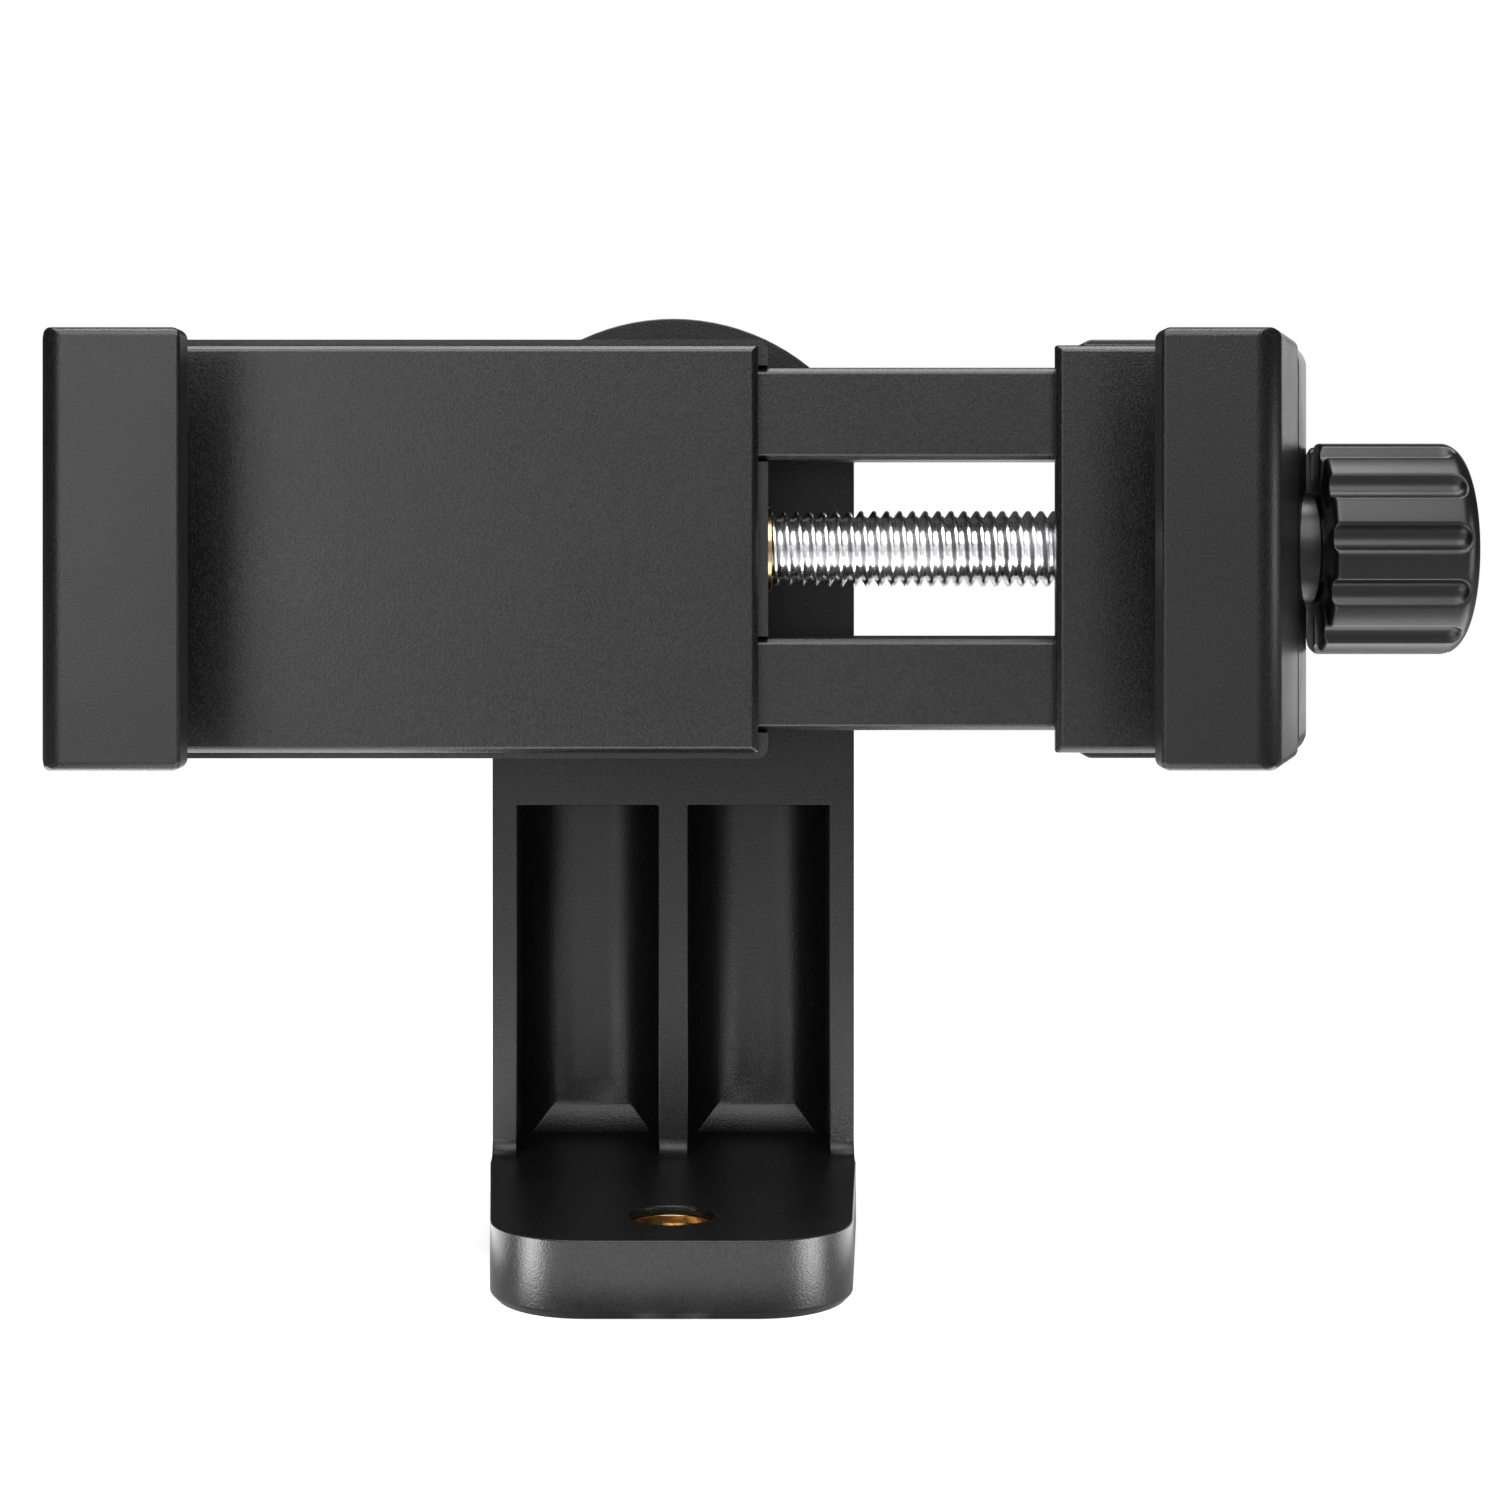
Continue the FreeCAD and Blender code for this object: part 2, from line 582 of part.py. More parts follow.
def make_rail(side):
    near_z = PIVOT_Z + side * RAIL_INNER
    far_z = PIVOT_Z + side * RAIL_OUTER
    low, high = sorted((near_z, far_z))
    rail = block(RAIL_LEFT, CARRIAGE_LEFT + CARRIAGE_WALL, RAIL_FRONT_Y, RAIL_BACK_Y, low, high)
    front_edges = edges_where(rail, lambda e: near(e.BoundBox.YMax, RAIL_FRONT_Y) and runs_along(e, X_AXIS))
    rail = rail.makeChamfer(RAIL_CHAMFER, front_edges)
    pitch = (RAIL_LENGTH - RAIL_RIB) / RAIL_POCKETS
    pockets = []
    for index in range(RAIL_POCKETS):
        start = RAIL_LEFT + RAIL_RIB + index * pitch
        pockets.append(
            block(
                start,
                start + pitch - RAIL_RIB,
                RAIL_BACK_Y - RAIL_POCKET_DEPTH,
                RAIL_BACK_Y + PAST,
                low + RAIL_WALL,
                high - RAIL_WALL,
            )
        )
    return rail.cut(pockets)


def make_plate():
    plate = block(
        PLATE_LEFT,
        MOVING_WALL_IN,
        BODY_FRONT_Y,
        COVER_BACK_Y,
        PIVOT_Z - COVER_HALF,
        PIVOT_Z + COVER_HALF,
    )
    rim = edges_where(
        plate,
        lambda e: near(e.BoundBox.YMax, BODY_FRONT_Y) and e.BoundBox.XMin < MOVING_WALL_IN - PAST,
    )
    return plate.makeChamfer(COVER_CHAMFER, rim)


def carriage_plan(inset, front_y):
    left = CARRIAGE_LEFT + inset
    return [
        (left, front_y),
        (moving_wall_x(front_y) - END_CAP_THICKNESS, front_y),
        (CAP_IN, SPINDLE_Y),
        (CAP_IN, BODY_BACK_Y),
        (left, BODY_BACK_Y),
    ]


def make_sliding_jaw():
    low = PIVOT_Z - SHELL_HALF
    high = PIVOT_Z + SHELL_HALF
    carriage = prism_along_z(carriage_plan(0, COVER_BACK_Y), low, high)
    left_corners = edges_where(
        carriage,
        lambda e: near(e.BoundBox.XMax, CARRIAGE_LEFT) and runs_along(e, Y_AXIS),
    )
    carriage = carriage.makeFillet(SHELL_CORNER_FILLET, left_corners)
    back_rim = edges_where(carriage, lambda e: near(e.BoundBox.YMin, BODY_BACK_Y))
    back_rim = [edge for edge in back_rim if edge.BoundBox.XMin < CAP_IN - PAST]
    carriage = carriage.makeChamfer(SHELL_BACK_CHAMFER, back_rim)
    root_top = END_CAP_GROOVE + BODY_FRONT_Y
    root = prism_along_z(
        [
            (MOVING_WALL_IN, BODY_FRONT_Y),
            (moving_wall_x(BODY_FRONT_Y) - END_CAP_THICKNESS, BODY_FRONT_Y),
            (moving_wall_x(COVER_BACK_Y) - END_CAP_THICKNESS, COVER_BACK_Y),
            (MOVING_WALL_IN, COVER_BACK_Y),
        ],
        PIVOT_Z - COVER_HALF,
        PIVOT_Z + COVER_HALF,
    )
    hook_plan = moving_jaw_plan(0, root_top)
    hook = prism_along_z(hook_plan, PIVOT_Z - JAW_CORE_HALF, PIVOT_Z + JAW_CORE_HALF)
    pocket = block(
        CARRIAGE_LEFT + CARRIAGE_WALL,
        MOVING_WALL_IN,
        COVER_BACK_Y + CARRIAGE_WALL,
        BODY_BACK_Y + PAST,
        low + CARRIAGE_WALL,
        high - CARRIAGE_WALL,
    )
    jaw = fuse_all(carriage, [make_plate(), root, hook])
    jaw = jaw.cut(pocket)
    stiffeners = []
    for side in (-1, 1):
        middle = PIVOT_Z + side * (RAIL_INNER + RAIL_WALL / 2)
        stiffeners.append(
            block(
                CARRIAGE_LEFT,
                MOVING_WALL_IN + PAST,
                COVER_BACK_Y,
                BODY_BACK_Y - CARRIAGE_WALL,
                middle - RAIL_WALL / 2,
                middle + RAIL_WALL / 2,
            )
        )
    jaw = fuse_all(jaw, stiffeners + [make_rail(-1), make_rail(1)])
    spindle_room = SPINDLE_DIAMETER / 2 + NUT_NECK_WALL
    washer_room = THRUST_WASHER_DIAMETER / 2 + THRUST_WASHER_ROOM
    tools = [
        round_along_x(spindle_room, CARRIAGE_LEFT - PAST, CARRIAGE_LEFT + CARRIAGE_WALL + PAST),
        round_along_x(washer_room, CARRIAGE_LEFT + CARRIAGE_WALL, MOVING_WALL_IN),
        bush_outline(),
        round_along_x(SPINDLE_DIAMETER / 2 + BUSH_FIT, MOVING_WALL_IN - PAST, BUSH_RIGHT),
    ]
    return jaw.cut(tools)


def make_end_cap():
    front = BODY_FRONT_Y + END_CAP_GROOVE
    plan = [
        (moving_wall_x(front) - END_CAP_THICKNESS, front),
        (moving_wall_x(front), front),
        (CAP_OUT, SPINDLE_Y),
        (CAP_OUT, BODY_BACK_Y),
        (CAP_IN, BODY_BACK_Y),
        (CAP_IN, SPINDLE_Y),
    ]
    cap = prism_along_z(plan, PIVOT_Z - SHELL_HALF, PIVOT_Z + SHELL_HALF)
    outer = edges_where(cap, lambda e: near(e.BoundBox.XMax, CAP_OUT) and e.BoundBox.YLength > PAST)
    cap = cap.makeFillet(END_CAP_CORNER, outer)
    return cap.cut(bush_outline())


def bush_outline():
    return round_along_x(BUSH_DIAMETER / 2, MOVING_WALL_IN + BUSH_INNER_STEP, BUSH_RIGHT)


def make_spindle_bush():
    bush = bush_outline().cut(round_along_x(SPINDLE_DIAMETER / 2 + BUSH_FIT, 0, KNOB_RIGHT))
    ends = edges_where(bush, lambda e: near(e.BoundBox.XMin, BUSH_RIGHT))
    rim = [edge for edge in ends if near(edge.BoundBox.ZLength, BUSH_DIAMETER)]
    return bush.makeChamfer(BUSH_CHAMFER, rim)


def spindle_profile():
    radius = SPINDLE_DIAMETER / 2
    ring_radius = RING_SEAT_DIAMETER / 2
    ring_left = RING_RIGHT - RING_THICKNESS
    clip_right = STOP_CLIP_LEFT + STOP_CLIP_THICKNESS
    rings = [
        (SPINDLE_TIP, 0),
        (SPINDLE_TIP, radius - SPINDLE_TIP_CHAMFER),
        (STOP_CLIP_LEFT, radius),
        (STOP_CLIP_LEFT, ring_radius),
        (clip_right, ring_radius),
        (clip_right, radius),
        (ring_left, radius),
        (ring_left, ring_radius),
        (RING_RIGHT, ring_radius),
        (RING_RIGHT, radius),
        (BOLT_HEAD_RIGHT, radius),
        (BOLT_HEAD_RIGHT, 0),
    ]
    corners = [point(x, SPINDLE_Y, PIVOT_Z + r) for x, r in rings]
    return Part.Face(Part.makePolygon(corners + corners[:1]))


def make_spindle():
    rod = spindle_profile().revolve(point(0, SPINDLE_Y, PIVOT_Z), X_AXIS, 360)
    head_left = BOLT_HEAD_RIGHT - BOLT_HEAD_LENGTH
    reach = BOLT_HEAD_FLATS / 2 / math.cos(math.radians(30))
    corners = []
    for index in range(6):
        turn = math.radians(60 * index)
        y = SPINDLE_Y + reach * math.cos(turn)
        z = PIVOT_Z + reach * math.sin(turn)
        corners.append(point(head_left, y, z))
    head = Part.Face(Part.makePolygon(corners + corners[:1])).extrude(point(BOLT_HEAD_LENGTH, 0, 0))
    return fuse_all(rod, [head])


def snap_ring(diameter, x_from, thickness):
    ring = round_along_x(diameter / 2, x_from, x_from + thickness)
    bore = round_along_x(RING_SEAT_DIAMETER / 2, x_from - PAST, x_from + thickness + PAST)
    mouth = block(
        x_from - PAST,
        x_from + thickness + PAST,
        SPINDLE_Y - RING_MOUTH / 2,
        SPINDLE_Y + RING_MOUTH / 2,
        PIVOT_Z - diameter,
        PIVOT_Z,
    )
    return ring.cut([bore, mouth])


def make_thrust_washer():
    washer_right = RING_RIGHT + THRUST_WASHER_THICKNESS - KNOB_GAP
    washer = round_along_x(THRUST_WASHER_DIAMETER / 2, RING_RIGHT, washer_right)
    return washer.cut(round_along_x(SPINDLE_DIAMETER / 2, 0, KNOB_RIGHT))


def knob_profile():
    radius = KNOB_DIAMETER / 2
    rings = [
        (KNOB_LEFT, 0),
        (KNOB_LEFT, radius - KNOB_REAR_CHAMFER),
        (KNOB_LEFT + KNOB_REAR_CHAMFER, radius),
    ]
    for step in range(KNOB_NOSE_STEPS + 1):
        share = step / KNOB_NOSE_STEPS
        rings.append((KNOB_RIGHT - KNOB_NOSE * (1 - share) ** 2, radius - KNOB_NOSE * share ** 2))
    rings.append((KNOB_RIGHT, 0))
    corners = [point(x, SPINDLE_Y, PIVOT_Z + r) for x, r in rings]
    return Part.Face(Part.makePolygon(corners + corners[:1]))


def make_knob(spindle):
    knob = knob_profile().revolve(point(0, SPINDLE_Y, PIVOT_Z), X_AXIS, 360)
    flute_axis = KNOB_DIAMETER / 2 - FLUTE_DEPTH + FLUTE_RADIUS
    flute_end = KNOB_RIGHT - KNOB_NOSE - FLUTE_RUN_OUT
    flutes = []
    for index in range(FLUTE_COUNT):
        turn = math.radians(FLUTE_PHASE + index * 360.0 / FLUTE_COUNT)
        y = SPINDLE_Y - flute_axis * math.cos(turn)
        z = PIVOT_Z + flute_axis * math.sin(turn)
        groove = round_along_x(FLUTE_RADIUS, KNOB_LEFT - PAST, flute_end, y, z)
        run_out = Part.makeCone(FLUTE_RADIUS, 0, FLUTE_RUN_OUT, point(flute_end, y, z), X_AXIS)
        flutes.append(groove.fuse(run_out))
    return knob.cut(flutes).cut(spindle)


def make_friction_disc():
    disc = round_along_y(FRICTION_DISC_DIAMETER / 2, BODY_BACK_Y, BODY_BACK_Y + FRICTION_DISC_THICKNESS)
    return disc.cut(round_along_y(PIVOT_BOSS_DIAMETER / 2, BODY_BACK_Y - PAST, HEAD_FRONT_Y + PAST))


def make_pivot_insert():
    front = SHELL_FLOOR_Y + PIVOT_INSERT_FLOOR
    insert = round_along_y(PIVOT_INSERT_DIAMETER / 2, front, WASHER_SEAT_Y - PIVOT_BOSS_SHORTFALL)
    return insert.cut(round_along_y(PIVOT_SCREW_DIAMETER / 2 + PIVOT_SCREW_FIT, front - PAST, ARM_BACK_Y))


def pivot_stack_y():
    washer_front = WASHER_SEAT_Y + PIVOT_RUN_GAP
    spring_front = washer_front + PIVOT_WASHER_THICKNESS
    head_front = spring_front + SPRING_WASHER_THICKNESS
    return washer_front, spring_front, head_front


def ring_along_y(diameter, y_from, thickness):
    ring = round_along_y(diameter / 2, y_from, y_from + thickness)
    bore = round_along_y(PIVOT_SCREW_DIAMETER / 2 + PIVOT_SCREW_FIT, y_from - PAST, y_from + thickness + PAST)
    return ring.cut(bore)


def make_pivot_washer():
    washer_front = pivot_stack_y()[0]
    return ring_along_y(PIVOT_WASHER_DIAMETER, washer_front, PIVOT_WASHER_THICKNESS)


def make_spring_washer():
    spring_front = pivot_stack_y()[1]
    ring = ring_along_y(SPRING_WASHER_DIAMETER, spring_front, SPRING_WASHER_THICKNESS)
    slit = block(
        -SPRING_WASHER_SLIT / 2,
        SPRING_WASHER_SLIT / 2,
        spring_front - PAST,
        spring_front + SPRING_WASHER_THICKNESS + PAST,
        PIVOT_Z,
        PIVOT_Z + SPRING_WASHER_DIAMETER,
    )
    return ring.cut(slit)


def make_pivot_screw():
    head_front = pivot_stack_y()[2]
    head_back = head_front + PIVOT_SCREW_HEAD_HEIGHT
    tip = SHELL_FLOOR_Y + PIVOT_INSERT_FLOOR + PIVOT_SCREW_END_ROOM
    head = round_along_y(PIVOT_SCREW_HEAD_DIAMETER / 2, head_front, head_back)
    crown = edges_where(head, lambda e: near(e.BoundBox.YMin, head_back))
    head = head.makeChamfer(PIVOT_SCREW_HEAD_CHAMFER, crown)
    screw = fuse_all(head, [round_along_y(PIVOT_SCREW_DIAMETER / 2, tip, head_front + PAST)])
    long_half = CROSS_SLOT_LENGTH / 2
    wide_half = CROSS_SLOT_WIDTH / 2
    slots = [
        block(-a, a, head_back - CROSS_SLOT_DEPTH, head_back + PAST, PIVOT_Z - b, PIVOT_Z + b)
        for a, b in ((long_half, wide_half), (wide_half, long_half))
    ]
    return screw.cut(slots)


def main():
    spindle = make_spindle()
    nodes = {
        "bracket": make_bracket(),
        "tripod_bush": make_tripod_bush(),
        "rear_shell": make_rear_shell(),
        "front_cover": make_front_cover(),
        "left_grip": make_left_grip(),
        "spindle_nut": make_spindle_nut(),
        "friction_disc": make_friction_disc(),
        "pivot_insert": make_pivot_insert(),
        "pivot_washer": make_pivot_washer(),
        "pivot_spring_washer": make_spring_washer(),
        "pivot_screw": make_pivot_screw(),
        "sliding_jaw": make_sliding_jaw(),
        "right_grip": make_right_grip(),
        "jaw_end_cap": make_end_cap(),
        "spindle_bush": make_spindle_bush(),
        "spindle": spindle,
        "spindle_knob": make_knob(spindle),
        "retaining_ring": snap_ring(RING_DIAMETER, RING_RIGHT - RING_THICKNESS, RING_THICKNESS),
        "thrust_washer": make_thrust_washer(),
        "stop_clip": snap_ring(STOP_CLIP_DIAMETER, STOP_CLIP_LEFT, STOP_CLIP_THICKNESS),
    }
    for name, shape in nodes.items():
        solid_of(shape).exportStep(f"parts/{name}.step")
        box = shape.BoundBox
        print(
            f"{name}: valid {shape.isValid()}, solids {len(shape.Solids)}, volume {shape.Volume:.1f}, "
            f"x {box.XMin:.2f} {box.XMax:.2f}, y {box.YMin:.2f} {box.YMax:.2f}, "
            f"z {box.ZMin:.2f} {box.ZMax:.2f}"
        )
    travel_in = COVER_RIGHT_END - PLATE_LEFT
    travel_out = NUT_LEFT - NUT_HOUSING_WALL - (STOP_CLIP_LEFT + STOP_CLIP_THICKNESS)
    print(f"pivot z {PIVOT_Z:.3f}, travel {travel_in:.2f} to {travel_out:.2f}")
    print(f"room left of the rails {RAIL_LEFT - CAVITY_LEFT:.2f}")


main()
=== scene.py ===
"""Phone clamp on an angle bracket: finishes, thread, knob and studio, in metres on the frame."""
import json
import math

import bmesh
import bpy
from mathutils import Matrix, Vector

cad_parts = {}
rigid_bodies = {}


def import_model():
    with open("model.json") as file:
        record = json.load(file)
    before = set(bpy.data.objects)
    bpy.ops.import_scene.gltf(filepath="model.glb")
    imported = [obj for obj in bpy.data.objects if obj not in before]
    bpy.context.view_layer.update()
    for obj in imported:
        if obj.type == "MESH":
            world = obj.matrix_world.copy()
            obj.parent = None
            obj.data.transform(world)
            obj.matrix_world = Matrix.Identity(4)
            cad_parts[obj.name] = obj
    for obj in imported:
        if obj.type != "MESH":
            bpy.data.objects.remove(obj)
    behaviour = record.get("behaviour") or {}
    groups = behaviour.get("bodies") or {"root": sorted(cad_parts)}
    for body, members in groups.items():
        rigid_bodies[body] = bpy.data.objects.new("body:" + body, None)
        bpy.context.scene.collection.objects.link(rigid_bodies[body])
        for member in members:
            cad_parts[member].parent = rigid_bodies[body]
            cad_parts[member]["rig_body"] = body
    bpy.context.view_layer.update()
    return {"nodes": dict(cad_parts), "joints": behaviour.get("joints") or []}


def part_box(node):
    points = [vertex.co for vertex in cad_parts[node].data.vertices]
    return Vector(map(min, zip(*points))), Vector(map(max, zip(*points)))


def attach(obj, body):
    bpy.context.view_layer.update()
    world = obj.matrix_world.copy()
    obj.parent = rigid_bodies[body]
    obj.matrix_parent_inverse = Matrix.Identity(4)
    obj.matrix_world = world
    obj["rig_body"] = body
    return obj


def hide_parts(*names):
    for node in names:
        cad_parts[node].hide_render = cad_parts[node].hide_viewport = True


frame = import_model()

MM = 0.001

# Places taken from the frame
JOINTS = {joint["name"]: joint for joint in frame["joints"]}
SPINDLE_AXIS = Vector(JOINTS["spindle_turn"]["pos_m"])
KNOB_LOW, KNOB_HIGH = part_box("spindle_knob")
SPINDLE_LOW, SPINDLE_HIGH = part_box("spindle")
RING_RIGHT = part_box("retaining_ring")[1].x
TRIPOD_LOW, TRIPOD_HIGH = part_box("tripod_bush")

# Spindle thread, M6 by 1
SPINDLE_RADIUS = 2.95 * MM
SPINDLE_PITCH = 1.0 * MM
THREAD_DEPTH = 0.52 * MM

# Thread form: where crest and root end, as shares of half a pitch
CREST_END = 0.17
ROOT_START = 0.85

# Camera thread in the foot, a quarter inch by twenty turns to the inch
TRIPOD_RADIUS = 3.175 * MM
TRIPOD_PITCH = 1.27 * MM
TRIPOD_CREST_SHARE = 0.48
TRIPOD_WALL_FIT = 0.01 * MM

# Mesh steps of the threads
THREAD_ROWS_A_TURN = 14
THREAD_ROUNDS = 49
SHANK_ROUNDS = 48

# Knob, with angles in degrees
FLUTE_COUNT = 12
FLUTE_PHASE = 174.0
FLUTE_RADIUS = 1.1 * MM
FLUTE_DEPTH = 0.8 * MM
FLUTE_END_MARGIN = 1.05 * MM
KNOB_DIAMETER = 16.4 * MM
KNOB_NOSE = 1.75 * MM
KNOB_NOSE_DROP = 1.9 * MM
KNOB_DOME = 0.25 * MM
KNOB_REAR_EDGE = 0.4 * MM
KNOB_REAR_FLAT = 4.92 * MM
KNOB_EDGE_SOFTNESS = 0.25 * MM
KNOB_REAR_STEPS = 5
KNOB_BARREL_STEPS = 44
KNOB_NOSE_ANGLE = 82
KNOB_NOSE_STEPS = 16
KNOB_DOME_STEPS = 8
KNOB_ROUNDS_A_FLUTE = 26

# Rubber boots on the jaws
BOOT_NOSE = 1.7 * MM
BOOT_RIM = 0.7 * MM
BOOT_INNER_EDGE = 0.3 * MM
BOOT_LIP = 3.6 * MM
BOOT_WALL = 4.6 * MM
BOOT_OVERHANG = 5.5 * MM
BOOT_BACK_BAND = 0.3 * MM
BOOT_STEPS = 8
SAME_PLACE = 0.1 * MM
END_WALL_SLOPE = 17.0

# Finishes: depth of grain and of turning marks, and how far rubbed edges lighten
GRAIN_DEPTH = 0.035 * MM
TURNING_DEPTH = 0.01 * MM
WORN_SHARE = 0.2

# Cleaning, rounding and shading of meshes, with angles in degrees
MERGE_DISTANCE = 0.002 * MM
FLAT_ANGLE = 0.6
EDGE_ANGLE = 32
EDGE_STEPS = 3
SHARP_ANGLE = 38

# Lamps
CENTRE = Vector((0, 0.01, 0.055))
CORNER_HEIGHT = 0.004
FLOOR_LIGHT_HEIGHT = 0.001

# Floor: shade, half width, depth below the foot, and how far its glow takes to become full
FLOOR_SHADE = 0.45
FLOOR_HALF = 1.5
FLOOR_DROP = 0.02 * MM
FLOOR_GLOW = 0.7
GLOW_REACH = (0.03, 0.12)

# Window of light ahead of the front, in the world, and as the painted reflection that the floor's
# glow shows to glossy rays
WINDOW_LIGHT = 1.7
WINDOW_MIDDLE = 0.03
WINDOW_RISE = 0.15
WINDOW_FALL = (0.22, 0.36)
WINDOW_TOP = (0.3, 0.5)
WINDOW_DEPTH = (-0.5, -0.2)
FLOOR_REFLECTION_RISE = 0.25
MIDDLE_LIGHT = 0.1
SIDE_LIGHT = 0.05
DIM_LIGHT = 0.06

# Camera
CAMERA_DISTANCE = 230 * MM
CAMERA_SIDE = 1.35 * MM
CAMERA_LENS = 70.93
CAMERA_SHIFT = (0.04, -0.134)


# Node helpers

def join(tree, source, socket):
    if isinstance(source, bpy.types.NodeSocket):
        tree.links.new(source, socket)
    else:
        socket.default_value = source


def add(tree, kind, **settings):
    node = tree.nodes.new(kind)
    for name, value in settings.items():
        setattr(node, name, value)
    return node


def maths(tree, operation, *values):
    node = add(tree, "ShaderNodeMath", operation=operation)
    for socket, value in zip(node.inputs, values):
        join(tree, value, socket)
    return node.outputs[0]


def map_range(tree, value, low, high, to_low, to_high):
    node = add(tree, "ShaderNodeMapRange")
    for socket, given in zip(node.inputs, (value, low, high, to_low, to_high)):
        join(tree, given, socket)
    return node.outputs[0]


def noise(tree, vector, scale, detail=2.0, roughness=0.5):
    node = add(tree, "ShaderNodeTexNoise")
    join(tree, vector, node.inputs["Vector"])
    join(tree, scale, node.inputs["Scale"])
    node.inputs["Detail"].default_value = detail
    node.inputs["Roughness"].default_value = roughness
    return node.outputs["Fac"]


def shader_group(name, inputs, outputs):
    group = bpy.data.node_groups.new(name, "ShaderNodeTree")
    for label, value in inputs:
        socket = group.interface.new_socket(label, in_out="INPUT", socket_type="NodeSocketFloat")
        socket.default_value = value
    for label in outputs:
        group.interface.new_socket(label, in_out="OUTPUT", socket_type="NodeSocketFloat")
    given = add(group, "NodeGroupInput")
    result = add(group, "NodeGroupOutput")
    return group, given.outputs, result.inputs


# Fine moulded grain: height of the skin and a slow drift of its gloss
def make_moulded_grain():
    group, given, result = shader_group(
        "moulded grain",
        (("Grain Scale", 3600.0), ("Grain Share", 0.7), ("Drift Scale", 60.0)),
        ("Height", "Drift"),
    )
    place = add(group, "ShaderNodeTexCoord").outputs["Object"]
    coarse = noise(group, place, given["Grain Scale"], 1.5, 0.55)
    fine_scale = maths(group, "MULTIPLY", given["Grain Scale"], 2.7)
    fine = noise(group, place, fine_scale, 1.0)
    share = maths(group, "MULTIPLY", coarse, given["Grain Share"])
    rest = maths(group, "MULTIPLY", fine, maths(group, "SUBTRACT", 1.0, given["Grain Share"]))
    join(group, maths(group, "ADD", share, rest), result["Height"])
    join(group, noise(group, place, given["Drift Scale"], 3.0), result["Drift"])
    return group


# Rubbed edges, broken up so that no edge is worn evenly
def make_rubbed_edges():
    group, given, result = shader_group(
        "rubbed edges",
        (("Start", 0.56), ("End", 0.7), ("Patch Scale", 500.0)),
        ("Mask",),
    )
    point = add(group, "ShaderNodeNewGeometry").outputs["Pointiness"]
    place = add(group, "ShaderNodeTexCoord").outputs["Object"]
    edge = map_range(group, point, given["Start"], given["End"], 0.0, 1.0)
    patch = map_range(group, noise(group, place, given["Patch Scale"], 3.0), 0.35, 0.65, 0.25, 1.0)
    join(group, maths(group, "MULTIPLY", edge, patch), result["Mask"])
    return group


# Turning marks round an axis, for turned and plated metal
def make_turning_marks():
    group, given, result = shader_group(
        "turning marks",
        (("Ring Scale", 9000.0), ("Stretch", 40.0), ("Tint Scale", 220.0)),
        ("Height", "Tint"),
    )
    place = add(group, "ShaderNodeTexCoord").outputs["Object"]
    parts = add(group, "ShaderNodeSeparateXYZ")
    join(group, place, parts.inputs[0])
    turned = add(group, "ShaderNodeCombineXYZ")
    join(group, parts.outputs["X"], turned.inputs["X"])
    for axis in ("Y", "Z"):
        stretched = maths(group, "DIVIDE", parts.outputs[axis], given["Stretch"])
        join(group, stretched, turned.inputs[axis])
    join(group, noise(group, turned.outputs[0], given["Ring Scale"], 2.0), result["Height"])
    join(group, noise(group, place, given["Tint Scale"], 3.0), result["Tint"])
    return group


MOULDED_GRAIN = make_moulded_grain()
RUBBED_EDGES = make_rubbed_edges()
TURNING_MARKS = make_turning_marks()


def new_material(name):
    material = bpy.data.materials.new(name)
    material.use_nodes = True
    tree = material.node_tree
    return material, tree, tree.nodes["Principled BSDF"]


def place_group(tree, group, **values):
    node = add(tree, "ShaderNodeGroup", node_tree=group)
    for label, value in values.items():
        node.inputs[label.replace("_", " ")].default_value = value
    return node.outputs


def mix_colour(tree, amount, first, second):
    node = add(tree, "ShaderNodeMix", data_type="RGBA")
    join(tree, amount, node.inputs["Factor"])
    colours = [socket for socket in node.inputs if socket.type == "RGBA"]
    join(tree, first, colours[0])
    join(tree, second, colours[1])
    return [socket for socket in node.outputs if socket.type == "RGBA"][0]


def bump(tree, height, strength, distance):
    node = add(tree, "ShaderNodeBump")
    join(tree, height, node.inputs["Height"])
    node.inputs["Strength"].default_value = strength
    node.inputs["Distance"].default_value = distance
    return node.outputs["Normal"]


def grey(value):
    return (value, value, value, 1.0)


def moulded_plastic(name, shade, rough, grain, grain_scale, gloss):
    material, tree, shader = new_material(name)
    skin = place_group(tree, MOULDED_GRAIN, Grain_Scale=grain_scale)
    worn = place_group(tree, RUBBED_EDGES)
    speckle = map_range(tree, skin["Height"], 0.42, 0.58, 0.0, 1.0)
    body = mix_colour(tree, speckle, grey(shade * (1 - grain)), grey(shade * (1 + grain)))
    rubbed = maths(tree, "MULTIPLY", worn["Mask"], WORN_SHARE)
    join(tree, mix_colour(tree, rubbed, body, grey(shade * 2.0)), shader.inputs["Base Color"])
    dull = map_range(tree, skin["Drift"], 0.3, 0.7, rough - 0.04, rough + 0.05)
    join(tree, dull, shader.inputs["Roughness"])
    join(tree, bump(tree, skin["Height"], grain, GRAIN_DEPTH), shader.inputs["Normal"])
    shader.inputs["Specular IOR Level"].default_value = gloss
    return material


def turned_metal(name, colour, rough, marks):
    material, tree, shader = new_material(name)
    turning = place_group(tree, TURNING_MARKS)
    darker = tuple(channel * 0.82 for channel in colour) + (1.0,)
    lighter = tuple(colour) + (1.0,)
    join(tree, mix_colour(tree, turning["Tint"], darker, lighter), shader.inputs["Base Color"])
    dull = map_range(tree, turning["Tint"], 0.3, 0.7, rough * 0.8, rough * 1.25)
    join(tree, dull, shader.inputs["Roughness"])
    join(tree, bump(tree, turning["Height"], marks, TURNING_DEPTH), shader.inputs["Normal"])
    shader.inputs["Metallic"].default_value = 1.0
    return material


